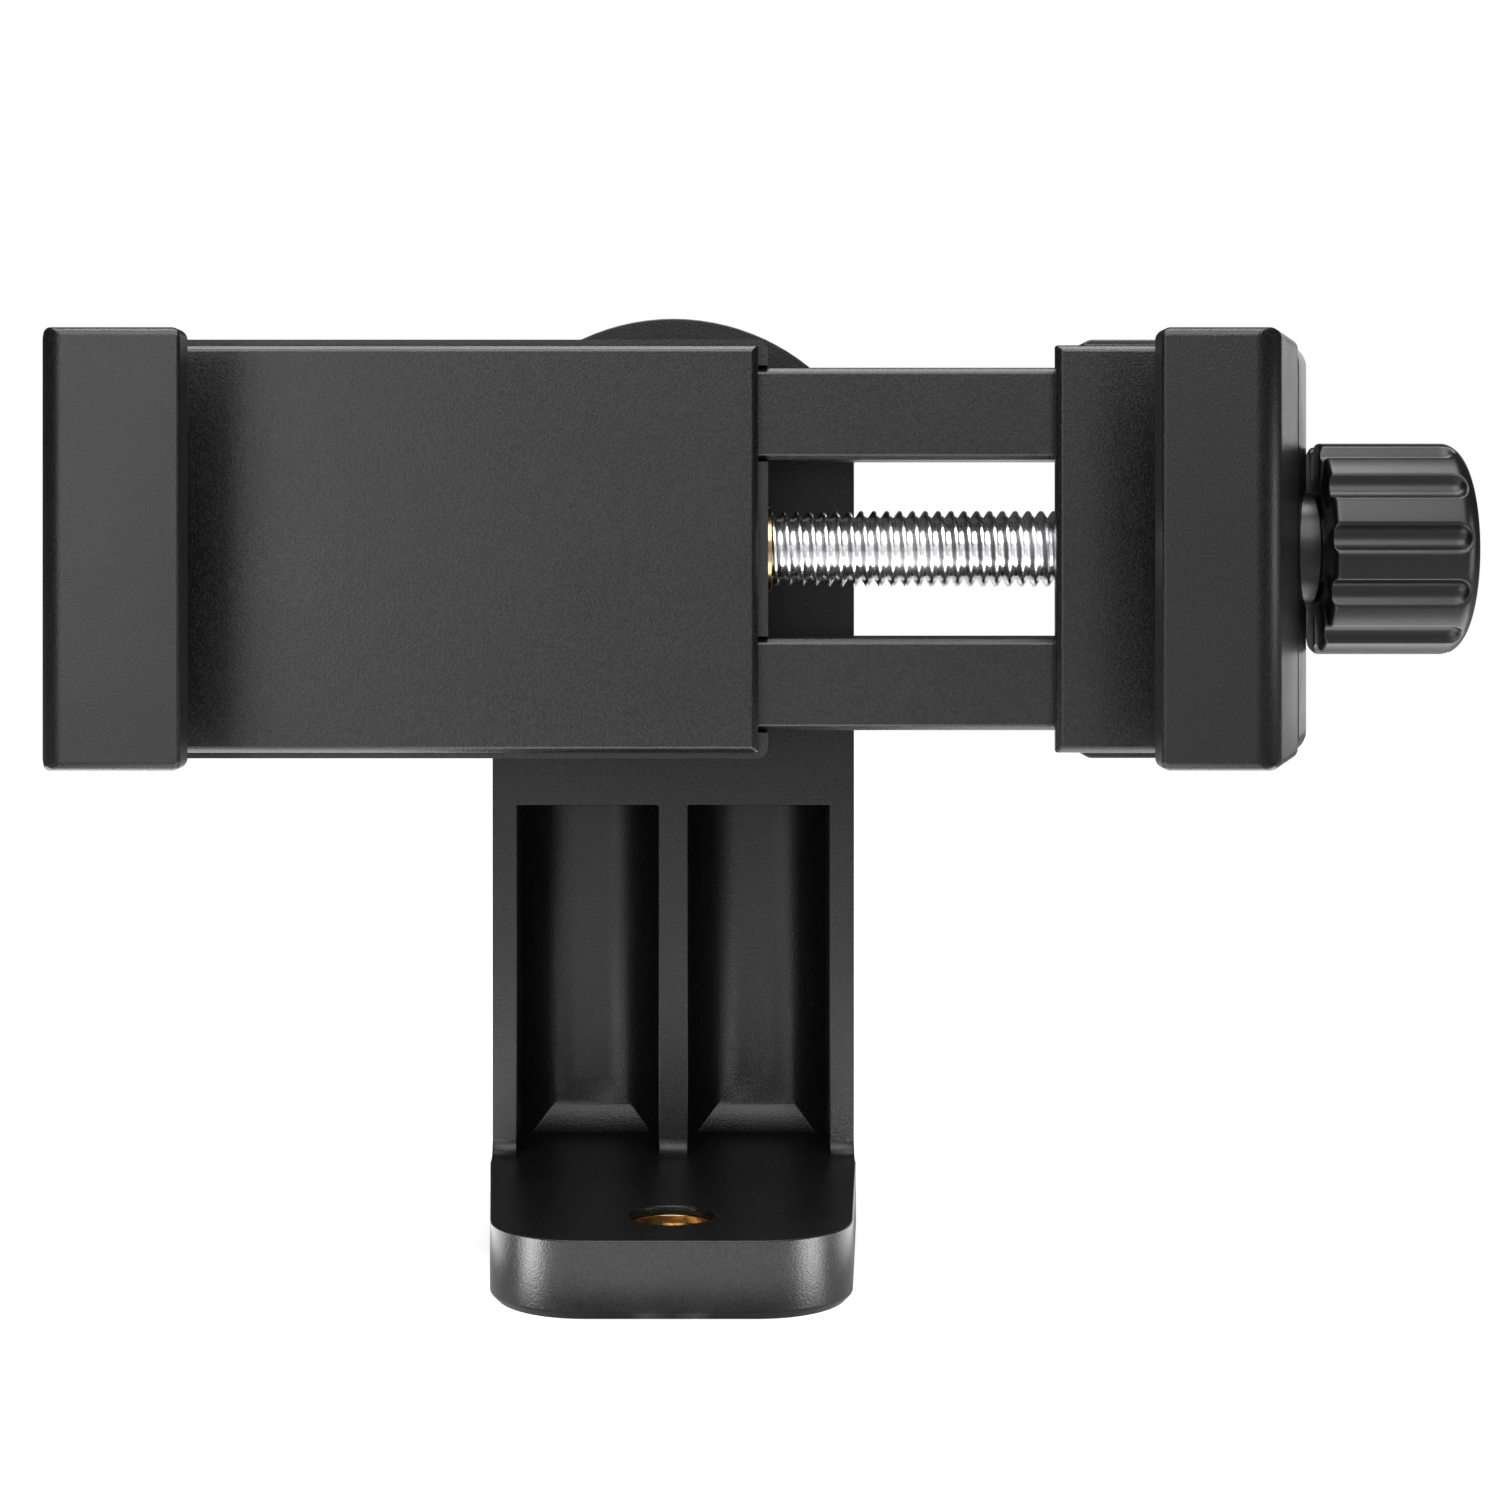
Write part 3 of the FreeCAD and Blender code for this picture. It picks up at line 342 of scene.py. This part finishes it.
# Plastics by shade, roughness, grain, grain scale and gloss; metals by colour, roughness and marks
FINISHES = {
    "bracket_plastic": moulded_plastic("black bracket plastic", 0.004, 0.32, 0.8, 6000.0, 0.3),
    "clamp_plastic": moulded_plastic("black clamp plastic", 0.005, 0.3, 0.8, 6000.0, 0.45),
    "gloss_black": moulded_plastic("satin black plastic", 0.004, 0.3, 0.1, 6000.0, 0.42),
    "grip_rubber": moulded_plastic("soft black rubber", 0.004, 0.34, 0.8, 6000.0, 0.45),
    "bright_steel": turned_metal("bright steel", (0.92, 0.92, 0.93), 0.2, 0.2),
    "plated_steel": turned_metal("plated steel", (0.6, 0.6, 0.58), 0.3, 0.3),
    "brass": turned_metal("brass", (0.5, 0.34, 0.17), 0.2, 0.3),
    "black_fibre": moulded_plastic("black fibre", 0.016, 0.75, 0.6, 1600.0, 0.3),
}

NODE_FINISH = {
    "bracket": "bracket_plastic",
    "tripod_bush": "brass",
    "rear_shell": "clamp_plastic",
    "front_cover": "clamp_plastic",
    "left_grip": "grip_rubber",
    "spindle_nut": "brass",
    "friction_disc": "black_fibre",
    "pivot_insert": "brass",
    "pivot_washer": "plated_steel",
    "pivot_spring_washer": "plated_steel",
    "pivot_screw": "plated_steel",
    "sliding_jaw": "clamp_plastic",
    "right_grip": "grip_rubber",
    "jaw_end_cap": "gloss_black",
    "spindle_bush": "gloss_black",
    "spindle": "bright_steel",
    "spindle_knob": "gloss_black",
    "retaining_ring": "plated_steel",
    "thrust_washer": "black_fibre",
    "stop_clip": "plated_steel",
}


# Pieces on the frame

def body_of_node(node):
    return frame["nodes"][node]["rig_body"]


def new_piece(name, mesh):
    piece = bpy.data.objects.new(name, mesh)
    bpy.context.scene.collection.objects.link(piece)
    return piece


def finish_piece(piece, node):
    slot = NODE_FINISH[node]
    piece.data.materials.clear()
    piece.data.materials.append(FINISHES[slot])
    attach(piece, body_of_node(node))
    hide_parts(node)


# Forms that take the full rounding at every edge; on the others the finest edge limits it
OPEN_FORMS = ("front_cover", "sliding_jaw", "jaw_end_cap", "bracket")


# The CAD solid with its edges rounded off
def softened_copy(node, name, edge_radius):
    mesh = bpy.data.meshes.new(name)
    solid = bmesh.new()
    solid.from_mesh(frame["nodes"][node].data)
    bmesh.ops.remove_doubles(solid, verts=solid.verts, dist=MERGE_DISTANCE)
    flat = math.radians(FLAT_ANGLE)
    bmesh.ops.dissolve_limit(solid, angle_limit=flat, verts=solid.verts, edges=solid.edges)
    for face in solid.faces:
        face.smooth = True
    solid.to_mesh(mesh)
    solid.free()
    if "custom_normal" in mesh.attributes:
        mesh.attributes.remove(mesh.attributes["custom_normal"])
    piece = new_piece(name, mesh)
    soften = piece.modifiers.new("edge", "BEVEL")
    soften.width = edge_radius
    soften.segments = EDGE_STEPS
    soften.limit_method = "ANGLE"
    soften.angle_limit = math.radians(EDGE_ANGLE)
    soften.use_clamp_overlap = node not in OPEN_FORMS
    level = piece.modifiers.new("flat faces", "WEIGHTED_NORMAL")
    level.mode = "FACE_AREA"
    level.weight = 100
    finish_piece(piece, node)


SOFTENED = {
    "bracket": ("bracket_body", 0.12 * MM),
    "rear_shell": ("clamp_rear_shell", 0.14 * MM),
    "front_cover": ("clamp_front_cover", 0.14 * MM),
    "sliding_jaw": ("sliding_jaw_body", 0.14 * MM),
    "jaw_end_cap": ("jaw_end_cover", 0.2 * MM),
    "spindle_bush": ("spindle_collar", 0.1 * MM),
    "spindle_nut": ("brass_nut", 0.06 * MM),
    "tripod_bush": ("brass_tripod_bush", 0.06 * MM),
    "pivot_washer": ("pivot_flat_washer", 0.1 * MM),
    "pivot_spring_washer": ("pivot_split_washer", 0.08 * MM),
    "pivot_screw": ("pivot_cross_screw", 0.08 * MM),
    "retaining_ring": ("spindle_snap_ring", 0.06 * MM),
    "stop_clip": ("spindle_stop_clip", 0.06 * MM),
}
for node, (name, radius) in SOFTENED.items():
    softened_copy(node, name, radius)

for node in ("friction_disc", "pivot_insert", "thrust_washer"):
    piece = frame["nodes"][node]
    piece.data.materials.clear()
    piece.data.materials.append(FINISHES[NODE_FINISH[node]])


# Geometry node trees

def shape_tree(name, inputs):
    tree = bpy.data.node_groups.new(name, "GeometryNodeTree")
    tree.interface.new_socket("Geometry", in_out="INPUT", socket_type="NodeSocketGeometry")
    for label, kind, value in inputs:
        socket = tree.interface.new_socket(label, in_out="INPUT", socket_type=f"NodeSocket{kind}")
        if value is not None:
            socket.default_value = value
    tree.interface.new_socket("Geometry", in_out="OUTPUT", socket_type="NodeSocketGeometry")
    given = add(tree, "NodeGroupInput").outputs
    return tree, given, add(tree, "NodeGroupOutput").inputs["Geometry"]


def close_tree(tree, geometry, finish, result):
    realize = add(tree, "GeometryNodeRealizeInstances")
    join(tree, geometry, realize.inputs["Geometry"])
    painted = add(tree, "GeometryNodeSetMaterial")
    join(tree, realize.outputs["Geometry"], painted.inputs["Geometry"])
    join(tree, finish, painted.inputs["Material"])
    join(tree, painted.outputs["Geometry"], result)


def move_points(tree, geometry, x, y, z):
    place = add(tree, "ShaderNodeCombineXYZ")
    for socket, value in zip(place.inputs, (x, y, z)):
        join(tree, value, socket)
    moved = add(tree, "GeometryNodeSetPosition")
    join(tree, geometry, moved.inputs["Geometry"])
    join(tree, place.outputs[0], moved.inputs["Position"])
    return moved.outputs["Geometry"]


def run_tree(name, tree, start_mesh, **values):
    piece = new_piece(name, start_mesh)
    modifier = piece.modifiers.new(tree.name, "NODES")
    modifier.node_group = tree
    for item in tree.interface.items_tree:
        label = item.name.replace(" ", "_")
        if item.in_out == "INPUT" and label in values:
            modifier[item.identifier] = values[label]
    evaluated = piece.evaluated_get(bpy.context.evaluated_depsgraph_get())
    mesh = bpy.data.meshes.new_from_object(evaluated)
    piece.modifiers.clear()
    piece.data = mesh
    return piece


# A thread along X: a sheet wound round the axis, sheared so that its rows follow the helix
def make_thread_tree():
    tree, given, result = shape_tree("wound thread", (
        ("Outer Radius", "Float", 3 * MM),
        ("Inner Radius", "Float", 2.4 * MM),
        ("Pitch", "Float", MM),
        ("Length", "Float", 10 * MM),
        ("Rows", "Int", 120),
        ("Rounds", "Int", 49),
        ("End Radius", "Float", 0.0),
        ("Finish", "Material", None),
    ))
    sheet = add(tree, "GeometryNodeMeshGrid")
    wound_length = maths(tree, "ADD", given["Length"], maths(tree, "MULTIPLY", given["Pitch"], 2.0))
    join(tree, wound_length, sheet.inputs["Size X"])
    join(tree, 2 * math.pi, sheet.inputs["Size Y"])
    join(tree, given["Rows"], sheet.inputs["Vertices X"])
    join(tree, given["Rounds"], sheet.inputs["Vertices Y"])
    parts = add(tree, "ShaderNodeSeparateXYZ")
    join(tree, add(tree, "GeometryNodeInputPosition").outputs[0], parts.inputs[0])
    along, turn = parts.outputs["X"], parts.outputs["Y"]
    turns = maths(tree, "ADD", maths(tree, "DIVIDE", along, given["Pitch"]), 500.0)
    off = maths(tree, "SUBTRACT", maths(tree, "FRACT", turns), 0.5)
    slope = maths(tree, "MULTIPLY", maths(tree, "ABSOLUTE", off), 2.0)
    flank = map_range(tree, slope, CREST_END, ROOT_START, 1.0, 0.0)
    radius = map_range(tree, flank, 0.0, 1.0, given["Inner Radius"], given["Outer Radius"])
    shear = maths(tree, "MULTIPLY", maths(tree, "DIVIDE", turn, 2 * math.pi), given["Pitch"])
    half = maths(tree, "MULTIPLY", given["Length"], 0.5)
    sheared = maths(tree, "ADD", along, shear)
    inside = maths(tree, "LESS_THAN", maths(tree, "ABSOLUTE", sheared), half)
    closed = map_range(tree, inside, 0.0, 1.0, given["End Radius"], radius)
    low = maths(tree, "MULTIPLY", half, -1.0)
    x = maths(tree, "MINIMUM", maths(tree, "MAXIMUM", sheared, low), half)
    y = maths(tree, "MULTIPLY", closed, maths(tree, "COSINE", turn))
    z = maths(tree, "MULTIPLY", closed, maths(tree, "SINE", turn))
    wound = move_points(tree, sheet.outputs["Mesh"], x, y, z)
    merge = add(tree, "GeometryNodeMergeByDistance")
    join(tree, wound, merge.inputs["Geometry"])
    join(tree, MERGE_DISTANCE, merge.inputs["Distance"])
    close_tree(tree, merge.outputs["Geometry"], given["Finish"], result)
    return tree


# Flutes round the X axis: points inside a flute's round cutter are drawn in to it
def make_flute_tree():
    tree, given, result = shape_tree("flutes", (
        ("Count", "Float", 12.0),
        ("Phase", "Float", 0.0),
        ("Cutter Radius", "Float", MM),
        ("Cutter Axis", "Float", 8 * MM),
        ("Cutter End", "Float", 10 * MM),
        ("Softness", "Float", 0.1 * MM),
        ("Finish", "Material", None),
    ))
    parts = add(tree, "ShaderNodeSeparateXYZ")
    join(tree, add(tree, "GeometryNodeInputPosition").outputs[0], parts.inputs[0])
    x, y, z = parts.outputs
    turn = maths(tree, "ARCTAN2", z, y)
    squares = maths(tree, "ADD", maths(tree, "POWER", y, 2.0), maths(tree, "POWER", z, 2.0))
    radius = maths(tree, "SQRT", squares)
    pitch = maths(tree, "DIVIDE", 2 * math.pi, given["Count"])
    shifted = maths(tree, "ADD", maths(tree, "SUBTRACT", turn, given["Phase"]), 8 * math.pi)
    share = maths(tree, "FRACT", maths(tree, "ADD", maths(tree, "DIVIDE", shifted, pitch), 0.5))
    off = maths(tree, "MULTIPLY", maths(tree, "SUBTRACT", share, 0.5), pitch)
    past = maths(tree, "MAXIMUM", maths(tree, "SUBTRACT", x, given["Cutter End"]), 0.0)
    full = maths(tree, "POWER", given["Cutter Radius"], 2.0)
    reach = maths(tree, "SUBTRACT", full, maths(tree, "POWER", past, 2.0))
    side = maths(tree, "MULTIPLY", given["Cutter Axis"], maths(tree, "SINE", off))
    room = maths(tree, "SUBTRACT", reach, maths(tree, "POWER", side, 2.0))
    deep = maths(tree, "SQRT", maths(tree, "MAXIMUM", room, 0.0))
    lack = maths(tree, "MAXIMUM", maths(tree, "MULTIPLY", room, -1.0), 0.0)
    height = maths(tree, "MULTIPLY", given["Cutter Axis"], maths(tree, "COSINE", off))
    wall = maths(tree, "SUBTRACT", height, deep)
    wall = maths(tree, "ADD", wall, maths(tree, "MULTIPLY", lack, 4e3))
    cut = maths(tree, "SMOOTH_MIN", radius, wall, given["Softness"])
    ratio = maths(tree, "DIVIDE", cut, maths(tree, "MAXIMUM", radius, 0.001 * MM))
    new_y = maths(tree, "MULTIPLY", y, ratio)
    new_z = maths(tree, "MULTIPLY", z, ratio)
    fluted = move_points(tree, given["Geometry"], x, new_y, new_z)
    close_tree(tree, fluted, given["Finish"], result)
    return tree


WOUND_THREAD = make_thread_tree()
FLUTES = make_flute_tree()


def smooth_with_edges(mesh):
    mesh.shade_smooth()
    mesh.set_sharp_from_angle(angle=math.radians(SHARP_ANGLE))


# A closed form turned about the X axis from its outline of (x, radius), both ends on the axis
def turned_blank(name, outline, rounds):
    mesh = bpy.data.meshes.new(name)
    solid = bmesh.new()
    rings = []
    for x, radius in outline:
        if radius == 0:
            rings.append([solid.verts.new((x, 0, 0))])
            continue
        ring = []
        for index in range(rounds):
            turn = 2 * math.pi * index / rounds
            ring.append(solid.verts.new((x, radius * math.cos(turn), radius * math.sin(turn))))
        rings.append(ring)
    for lower, upper in zip(rings, rings[1:]):
        for index in range(rounds):
            following = (index + 1) % rounds
            corners = [lower[index % len(lower)], lower[following % len(lower)]]
            corners += [upper[following % len(upper)], upper[index % len(upper)]]
            solid.faces.new(list(dict.fromkeys(corners)))
    bmesh.ops.recalc_face_normals(solid, faces=solid.faces)
    solid.to_mesh(mesh)
    solid.free()
    return mesh


# Points of an ellipse's arc, by angle from the radius side
def arc(centre, reach, start, end, steps):
    points = []
    for index in range(steps + 1):
        turn = math.radians(start + (end - start) * index / steps)
        x = centre[0] + reach[0] * math.sin(turn)
        points.append((x, centre[1] + reach[1] * math.cos(turn)))
    return points


def put_in_place(mesh, move):
    mesh.transform(Matrix.Translation(move))


# Knob

def make_knob():
    radius = KNOB_DIAMETER / 2
    left = KNOB_LOW.x
    right = KNOB_HIGH.x
    edge = KNOB_REAR_EDGE
    outline = [(left, 0), (left, KNOB_REAR_FLAT)]
    outline += arc((left + edge, radius - edge), (edge, edge), -90, 0, KNOB_REAR_STEPS)
    step = (right - KNOB_NOSE - left - edge) / (KNOB_BARREL_STEPS + 1)
    outline += [(left + edge + step * (index + 1), radius) for index in range(KNOB_BARREL_STEPS)]
    centre = (right - KNOB_NOSE, radius - KNOB_NOSE_DROP)
    nose = arc(centre, (KNOB_NOSE - KNOB_DOME, KNOB_NOSE_DROP), 0, KNOB_NOSE_ANGLE, KNOB_NOSE_STEPS)
    outline += nose
    last_x, last_r = nose[-1]
    for index in range(1, KNOB_DOME_STEPS):
        share = 1 - index / KNOB_DOME_STEPS
        outline.append((right - (right - last_x) * share ** 2, last_r * share))
    outline.append((right, 0))
    blank = turned_blank("spindle_knob_blank", outline, FLUTE_COUNT * KNOB_ROUNDS_A_FLUTE)
    knob = run_tree(
        "fluted_knob",
        FLUTES,
        blank,
        Count=float(FLUTE_COUNT),
        Phase=math.radians(FLUTE_PHASE),
        Cutter_Radius=FLUTE_RADIUS,
        Cutter_Axis=radius - FLUTE_DEPTH + FLUTE_RADIUS,
        Cutter_End=right - FLUTE_END_MARGIN - FLUTE_RADIUS,
        Softness=KNOB_EDGE_SOFTNESS,
        Finish=FINISHES["gloss_black"],
    )
    knob.data.shade_smooth()
    put_in_place(knob.data, (0, SPINDLE_AXIS.y, SPINDLE_AXIS.z))
    finish_piece(knob, "spindle_knob")


make_knob()


# Threads

def thread_rows(length, pitch):
    return round((length + 2 * pitch) / pitch * THREAD_ROWS_A_TURN) + 1


def make_threaded_spindle():
    low = SPINDLE_LOW.x
    turns = round((RING_RIGHT - low) / SPINDLE_PITCH)
    length = turns * SPINDLE_PITCH
    rod = run_tree(
        "threaded_spindle",
        WOUND_THREAD,
        bpy.data.meshes.new("threaded_spindle_start"),
        Outer_Radius=SPINDLE_RADIUS,
        Inner_Radius=SPINDLE_RADIUS - THREAD_DEPTH,
        Pitch=SPINDLE_PITCH,
        Length=length,
        Rows=thread_rows(length, SPINDLE_PITCH),
        Rounds=THREAD_ROUNDS,
        Finish=FINISHES["bright_steel"],
    )
    smooth_with_edges(rod.data)
    put_in_place(rod.data, (low + length / 2, SPINDLE_AXIS.y, SPINDLE_AXIS.z))
    shank = turned_blank("plain_shank", [
        (low + length, 0),
        (low + length, SPINDLE_RADIUS),
        (SPINDLE_HIGH.x, SPINDLE_RADIUS),
        (SPINDLE_HIGH.x, 0),
    ], SHANK_ROUNDS)
    put_in_place(shank, (0, SPINDLE_AXIS.y, SPINDLE_AXIS.z))
    smooth_with_edges(shank)
    finish_piece(rod, "spindle")
    plain = new_piece("plain_spindle_shank", shank)
    shank.materials.append(FINISHES["bright_steel"])
    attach(plain, body_of_node("spindle"))


make_threaded_spindle()


def make_tripod_thread():
    height = TRIPOD_HIGH.z - TRIPOD_LOW.z
    length = math.floor(height / TRIPOD_PITCH) * TRIPOD_PITCH
    wall = TRIPOD_RADIUS - TRIPOD_WALL_FIT
    thread = run_tree(
        "tripod_thread",
        WOUND_THREAD,
        bpy.data.meshes.new("tripod_thread_start"),
        Outer_Radius=TRIPOD_RADIUS - TRIPOD_PITCH * TRIPOD_CREST_SHARE,
        Inner_Radius=wall,
        Pitch=TRIPOD_PITCH,
        Length=length,
        Rows=thread_rows(length, TRIPOD_PITCH),
        Rounds=THREAD_ROUNDS,
        End_Radius=wall,
        Finish=FINISHES["brass"],
    )
    thread.data.transform(Matrix.Rotation(math.radians(-90), 4, "Y"))
    thread.data.flip_normals()
    smooth_with_edges(thread.data)
    put_in_place(thread.data, (0, 0, TRIPOD_LOW.z + height / 2))
    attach(thread, body_of_node("tripod_bush"))


make_tripod_thread()


# Rubber boots on the two jaws: a hooked outline drawn up, with rounded nose and rims
def make_boot(name, node, outline, nose):
    low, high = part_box(node)
    mesh = bpy.data.meshes.new(name)
    solid = bmesh.new()
    weights = solid.edges.layers.float.new("bevel_weight_edge")
    floor = [solid.verts.new((x, y, low.z)) for x, y in outline]
    roof = [solid.verts.new((x, y, high.z)) for x, y in outline]
    solid.faces.new(floor)
    solid.faces.new(roof)
    count = len(outline)
    for index in range(count):
        following = (index + 1) % count
        solid.faces.new((floor[index], floor[following], roof[following], roof[index]))
    bmesh.ops.recalc_face_normals(solid, faces=solid.faces)
    back = max(y for x, y in outline) - BOOT_BACK_BAND
    for edge in solid.edges:
        upright = abs(edge.verts[0].co.z - edge.verts[1].co.z) > MM
        at = sum((vert.co for vert in edge.verts), Vector()) / 2
        if at.y > back:
            continue
        if upright and (Vector(nose) - at.to_2d()).length < SAME_PLACE:
            edge[weights] = 1.0
        elif upright:
            edge[weights] = BOOT_INNER_EDGE / BOOT_NOSE
        else:
            edge[weights] = BOOT_RIM / BOOT_NOSE
    for face in solid.faces:
        face.smooth = True
    solid.to_mesh(mesh)
    solid.free()
    boot = new_piece(name, mesh)
    soften = boot.modifiers.new("rounding", "BEVEL")
    soften.width = BOOT_NOSE
    soften.segments = BOOT_STEPS
    soften.limit_method = "WEIGHT"
    soften.harden_normals = True
    finish_piece(boot, node)


def make_boots():
    left_low, left_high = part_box("left_grip")
    right_low, right_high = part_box("right_grip")
    left_nose = (left_low.x, left_low.y)
    make_boot("left_rubber_boot", "left_grip", [
        (left_low.x, left_high.y),
        left_nose,
        (left_high.x, left_low.y),
        (left_high.x, left_low.y + BOOT_LIP),
        (left_low.x + BOOT_WALL, left_low.y + BOOT_LIP),
        (left_low.x + BOOT_WALL, left_high.y),
    ], left_nose)
    lean = math.tan(math.radians(END_WALL_SLOPE))
    right_nose = (right_high.x - (left_high.y - right_low.y) * lean, right_low.y)
    make_boot("right_rubber_boot", "right_grip", [
        (right_high.x, left_high.y),
        right_nose,
        (right_low.x, right_low.y),
        (right_low.x, right_low.y + BOOT_LIP),
        (right_low.x + BOOT_OVERHANG, right_low.y + BOOT_LIP),
        (right_low.x + BOOT_OVERHANG, left_high.y),
    ], right_nose)


make_boots()


# Studio

def aim(thing, place, target):
    thing.location = place
    thing.rotation_euler = (Vector(target) - Vector(place)).to_track_quat("-Z", "Y").to_euler()


def softbox(name, wide, deep, place, target, radiance):
    light = bpy.data.lights.new(name, "AREA")
    light.shape = "RECTANGLE"
    light.size = wide
    light.size_y = deep
    light.energy = radiance * math.pi * wide * deep
    lamp = bpy.data.objects.new(name, light)
    lamp.visible_camera = False
    bpy.context.scene.collection.objects.link(lamp)
    aim(lamp, place, target)


# A lamp lying just above the floor, facing up
def floor_light(name, left, right, front, back, radiance):
    place = Vector(((left + right) / 2, (front + back) / 2, FLOOR_LIGHT_HEIGHT))
    softbox(name, right - left, back - front, place, place + Vector((0, 0, 1)), radiance)


softbox("overhead softbox", 0.26, 0.12, (0.0, 0.01, 0.3), CENTRE, 8.0)
softbox("front top softbox", 0.34, 0.3, (0.0, -0.26, 0.32), CENTRE, 5.5)
softbox("front left softbox", 0.11, 0.09, (-0.11, -0.22, 0.065), (-0.03, 0.006, 0.055), 3.0)
softbox("back right softbox", 0.2, 0.3, (0.26, 0.6, 0.08), CENTRE, 1.4)
floor_light("front floor light", -0.05, 0.05, -0.065, -0.012, 3.0)

# Small cards that draw the light lines on the foot's two corners and on the knob's nose
for side in (-1, 1):
    place = (side * 0.0194, -0.011, CORNER_HEIGHT)
    corner = (side * 0.0113, -0.007, CORNER_HEIGHT)
    softbox("corner card", 0.006, 0.008, place, corner, 22.0)
nose = (0.06, 0.008, SPINDLE_AXIS.z)
softbox("nose card", 0.01, 0.02, (0.078, -0.004, SPINDLE_AXIS.z), nose, 4.0)
floor_light("left low light", -0.13, -0.021, 0.0, 0.05, 5.0)
floor_light("right low light", 0.021, 0.13, 0.0, 0.05, 4.0)


# The window's light by direction: dim in the middle, where the camera stands, and at the sides
def window_across(tree, x, middle, rise):
    off = maths(tree, "ABSOLUTE", maths(tree, "SUBTRACT", x, middle))
    rising = map_range(tree, off, 0.0, rise, MIDDLE_LIGHT, 1.0)
    falling = map_range(tree, off, *WINDOW_FALL, 1.0, SIDE_LIGHT)
    return maths(tree, "MULTIPLY", rising, falling)


def make_floor():
    mesh = bpy.data.meshes.new("floor")
    signs = ((-1, -1), (1, -1), (1, 1), (-1, 1))
    corners = [(x * FLOOR_HALF, y * FLOOR_HALF, -FLOOR_DROP) for x, y in signs]
    mesh.from_pydata(corners, [], [(0, 1, 2, 3)])
    floor = new_piece("floor", mesh)
    material, tree, shader = new_material("white floor")
    shader.inputs["Base Color"].default_value = grey(FLOOR_SHADE)
    shader.inputs["Roughness"].default_value = 0.9
    shader.inputs["Specular IOR Level"].default_value = 0.0
    path = add(tree, "ShaderNodeLightPath")
    away = add(tree, "ShaderNodeVectorMath", operation="LENGTH")
    place = add(tree, "ShaderNodeTexCoord").outputs["Object"]
    join(tree, place, away.inputs[0])
    glow = map_range(tree, away.outputs["Value"], *GLOW_REACH, FLOOR_GLOW, 1.0)
    parts = add(tree, "ShaderNodeSeparateXYZ")
    join(tree, place, parts.inputs[0])
    aside = maths(tree, "DIVIDE", parts.outputs["X"], away.outputs["Value"])
    window = window_across(tree, aside, 0.0, FLOOR_REFLECTION_RISE)
    # To glossy rays only, the floor glows in the window's shape: a painted reflection from a part
    # that is no lamp. To the camera it glows white as the backdrop.
    painted_reflection = maths(tree, "MULTIPLY", path.outputs["Is Glossy Ray"], window)
    seen = maths(tree, "MAXIMUM", path.outputs["Is Camera Ray"], painted_reflection)
    shader.inputs["Emission Color"].default_value = grey(1.0)
    join(tree, maths(tree, "MULTIPLY", seen, glow), shader.inputs["Emission Strength"])
    mesh.materials.append(material)


make_floor()


# White to the camera, and to all else the window ahead with dim light all round
def make_world():
    world = bpy.data.worlds.new("studio")
    world.use_nodes = True
    tree = world.node_tree
    background = tree.nodes["Background"]
    path = add(tree, "ShaderNodeLightPath")
    parts = add(tree, "ShaderNodeSeparateXYZ")
    join(tree, add(tree, "ShaderNodeTexCoord").outputs["Generated"], parts.inputs[0])
    x, y, z = parts.outputs
    ahead = map_range(tree, y, *WINDOW_DEPTH, 1.0, 0.0)
    upright = map_range(tree, maths(tree, "ABSOLUTE", z), *WINDOW_TOP, 1.0, 0.0)
    across = window_across(tree, x, WINDOW_MIDDLE, WINDOW_RISE)
    window = maths(tree, "MULTIPLY", maths(tree, "MULTIPLY", ahead, upright), across)
    light = maths(tree, "MAXIMUM", maths(tree, "MULTIPLY", window, WINDOW_LIGHT), DIM_LIGHT)
    strength = maths(tree, "MAXIMUM", path.outputs["Is Camera Ray"], light)
    background.inputs["Color"].default_value = grey(1.0)
    join(tree, strength, background.inputs["Strength"])
    bpy.context.scene.world = world


make_world()


def make_camera():
    data = bpy.data.cameras.new("camera")
    data.lens = CAMERA_LENS
    data.sensor_width = 36.0
    data.shift_x, data.shift_y = CAMERA_SHIFT
    data.clip_start = 0.01
    data.clip_end = 10.0
    camera = bpy.data.objects.new("camera", data)
    bpy.context.scene.collection.objects.link(camera)
    place = Vector((CAMERA_SIDE, SPINDLE_AXIS.y - CAMERA_DISTANCE, SPINDLE_AXIS.z))
    aim(camera, place, place + Vector((0, 1, 0)))
    bpy.context.scene.camera = camera


make_camera()
bpy.context.scene.view_settings.view_transform = "Standard"
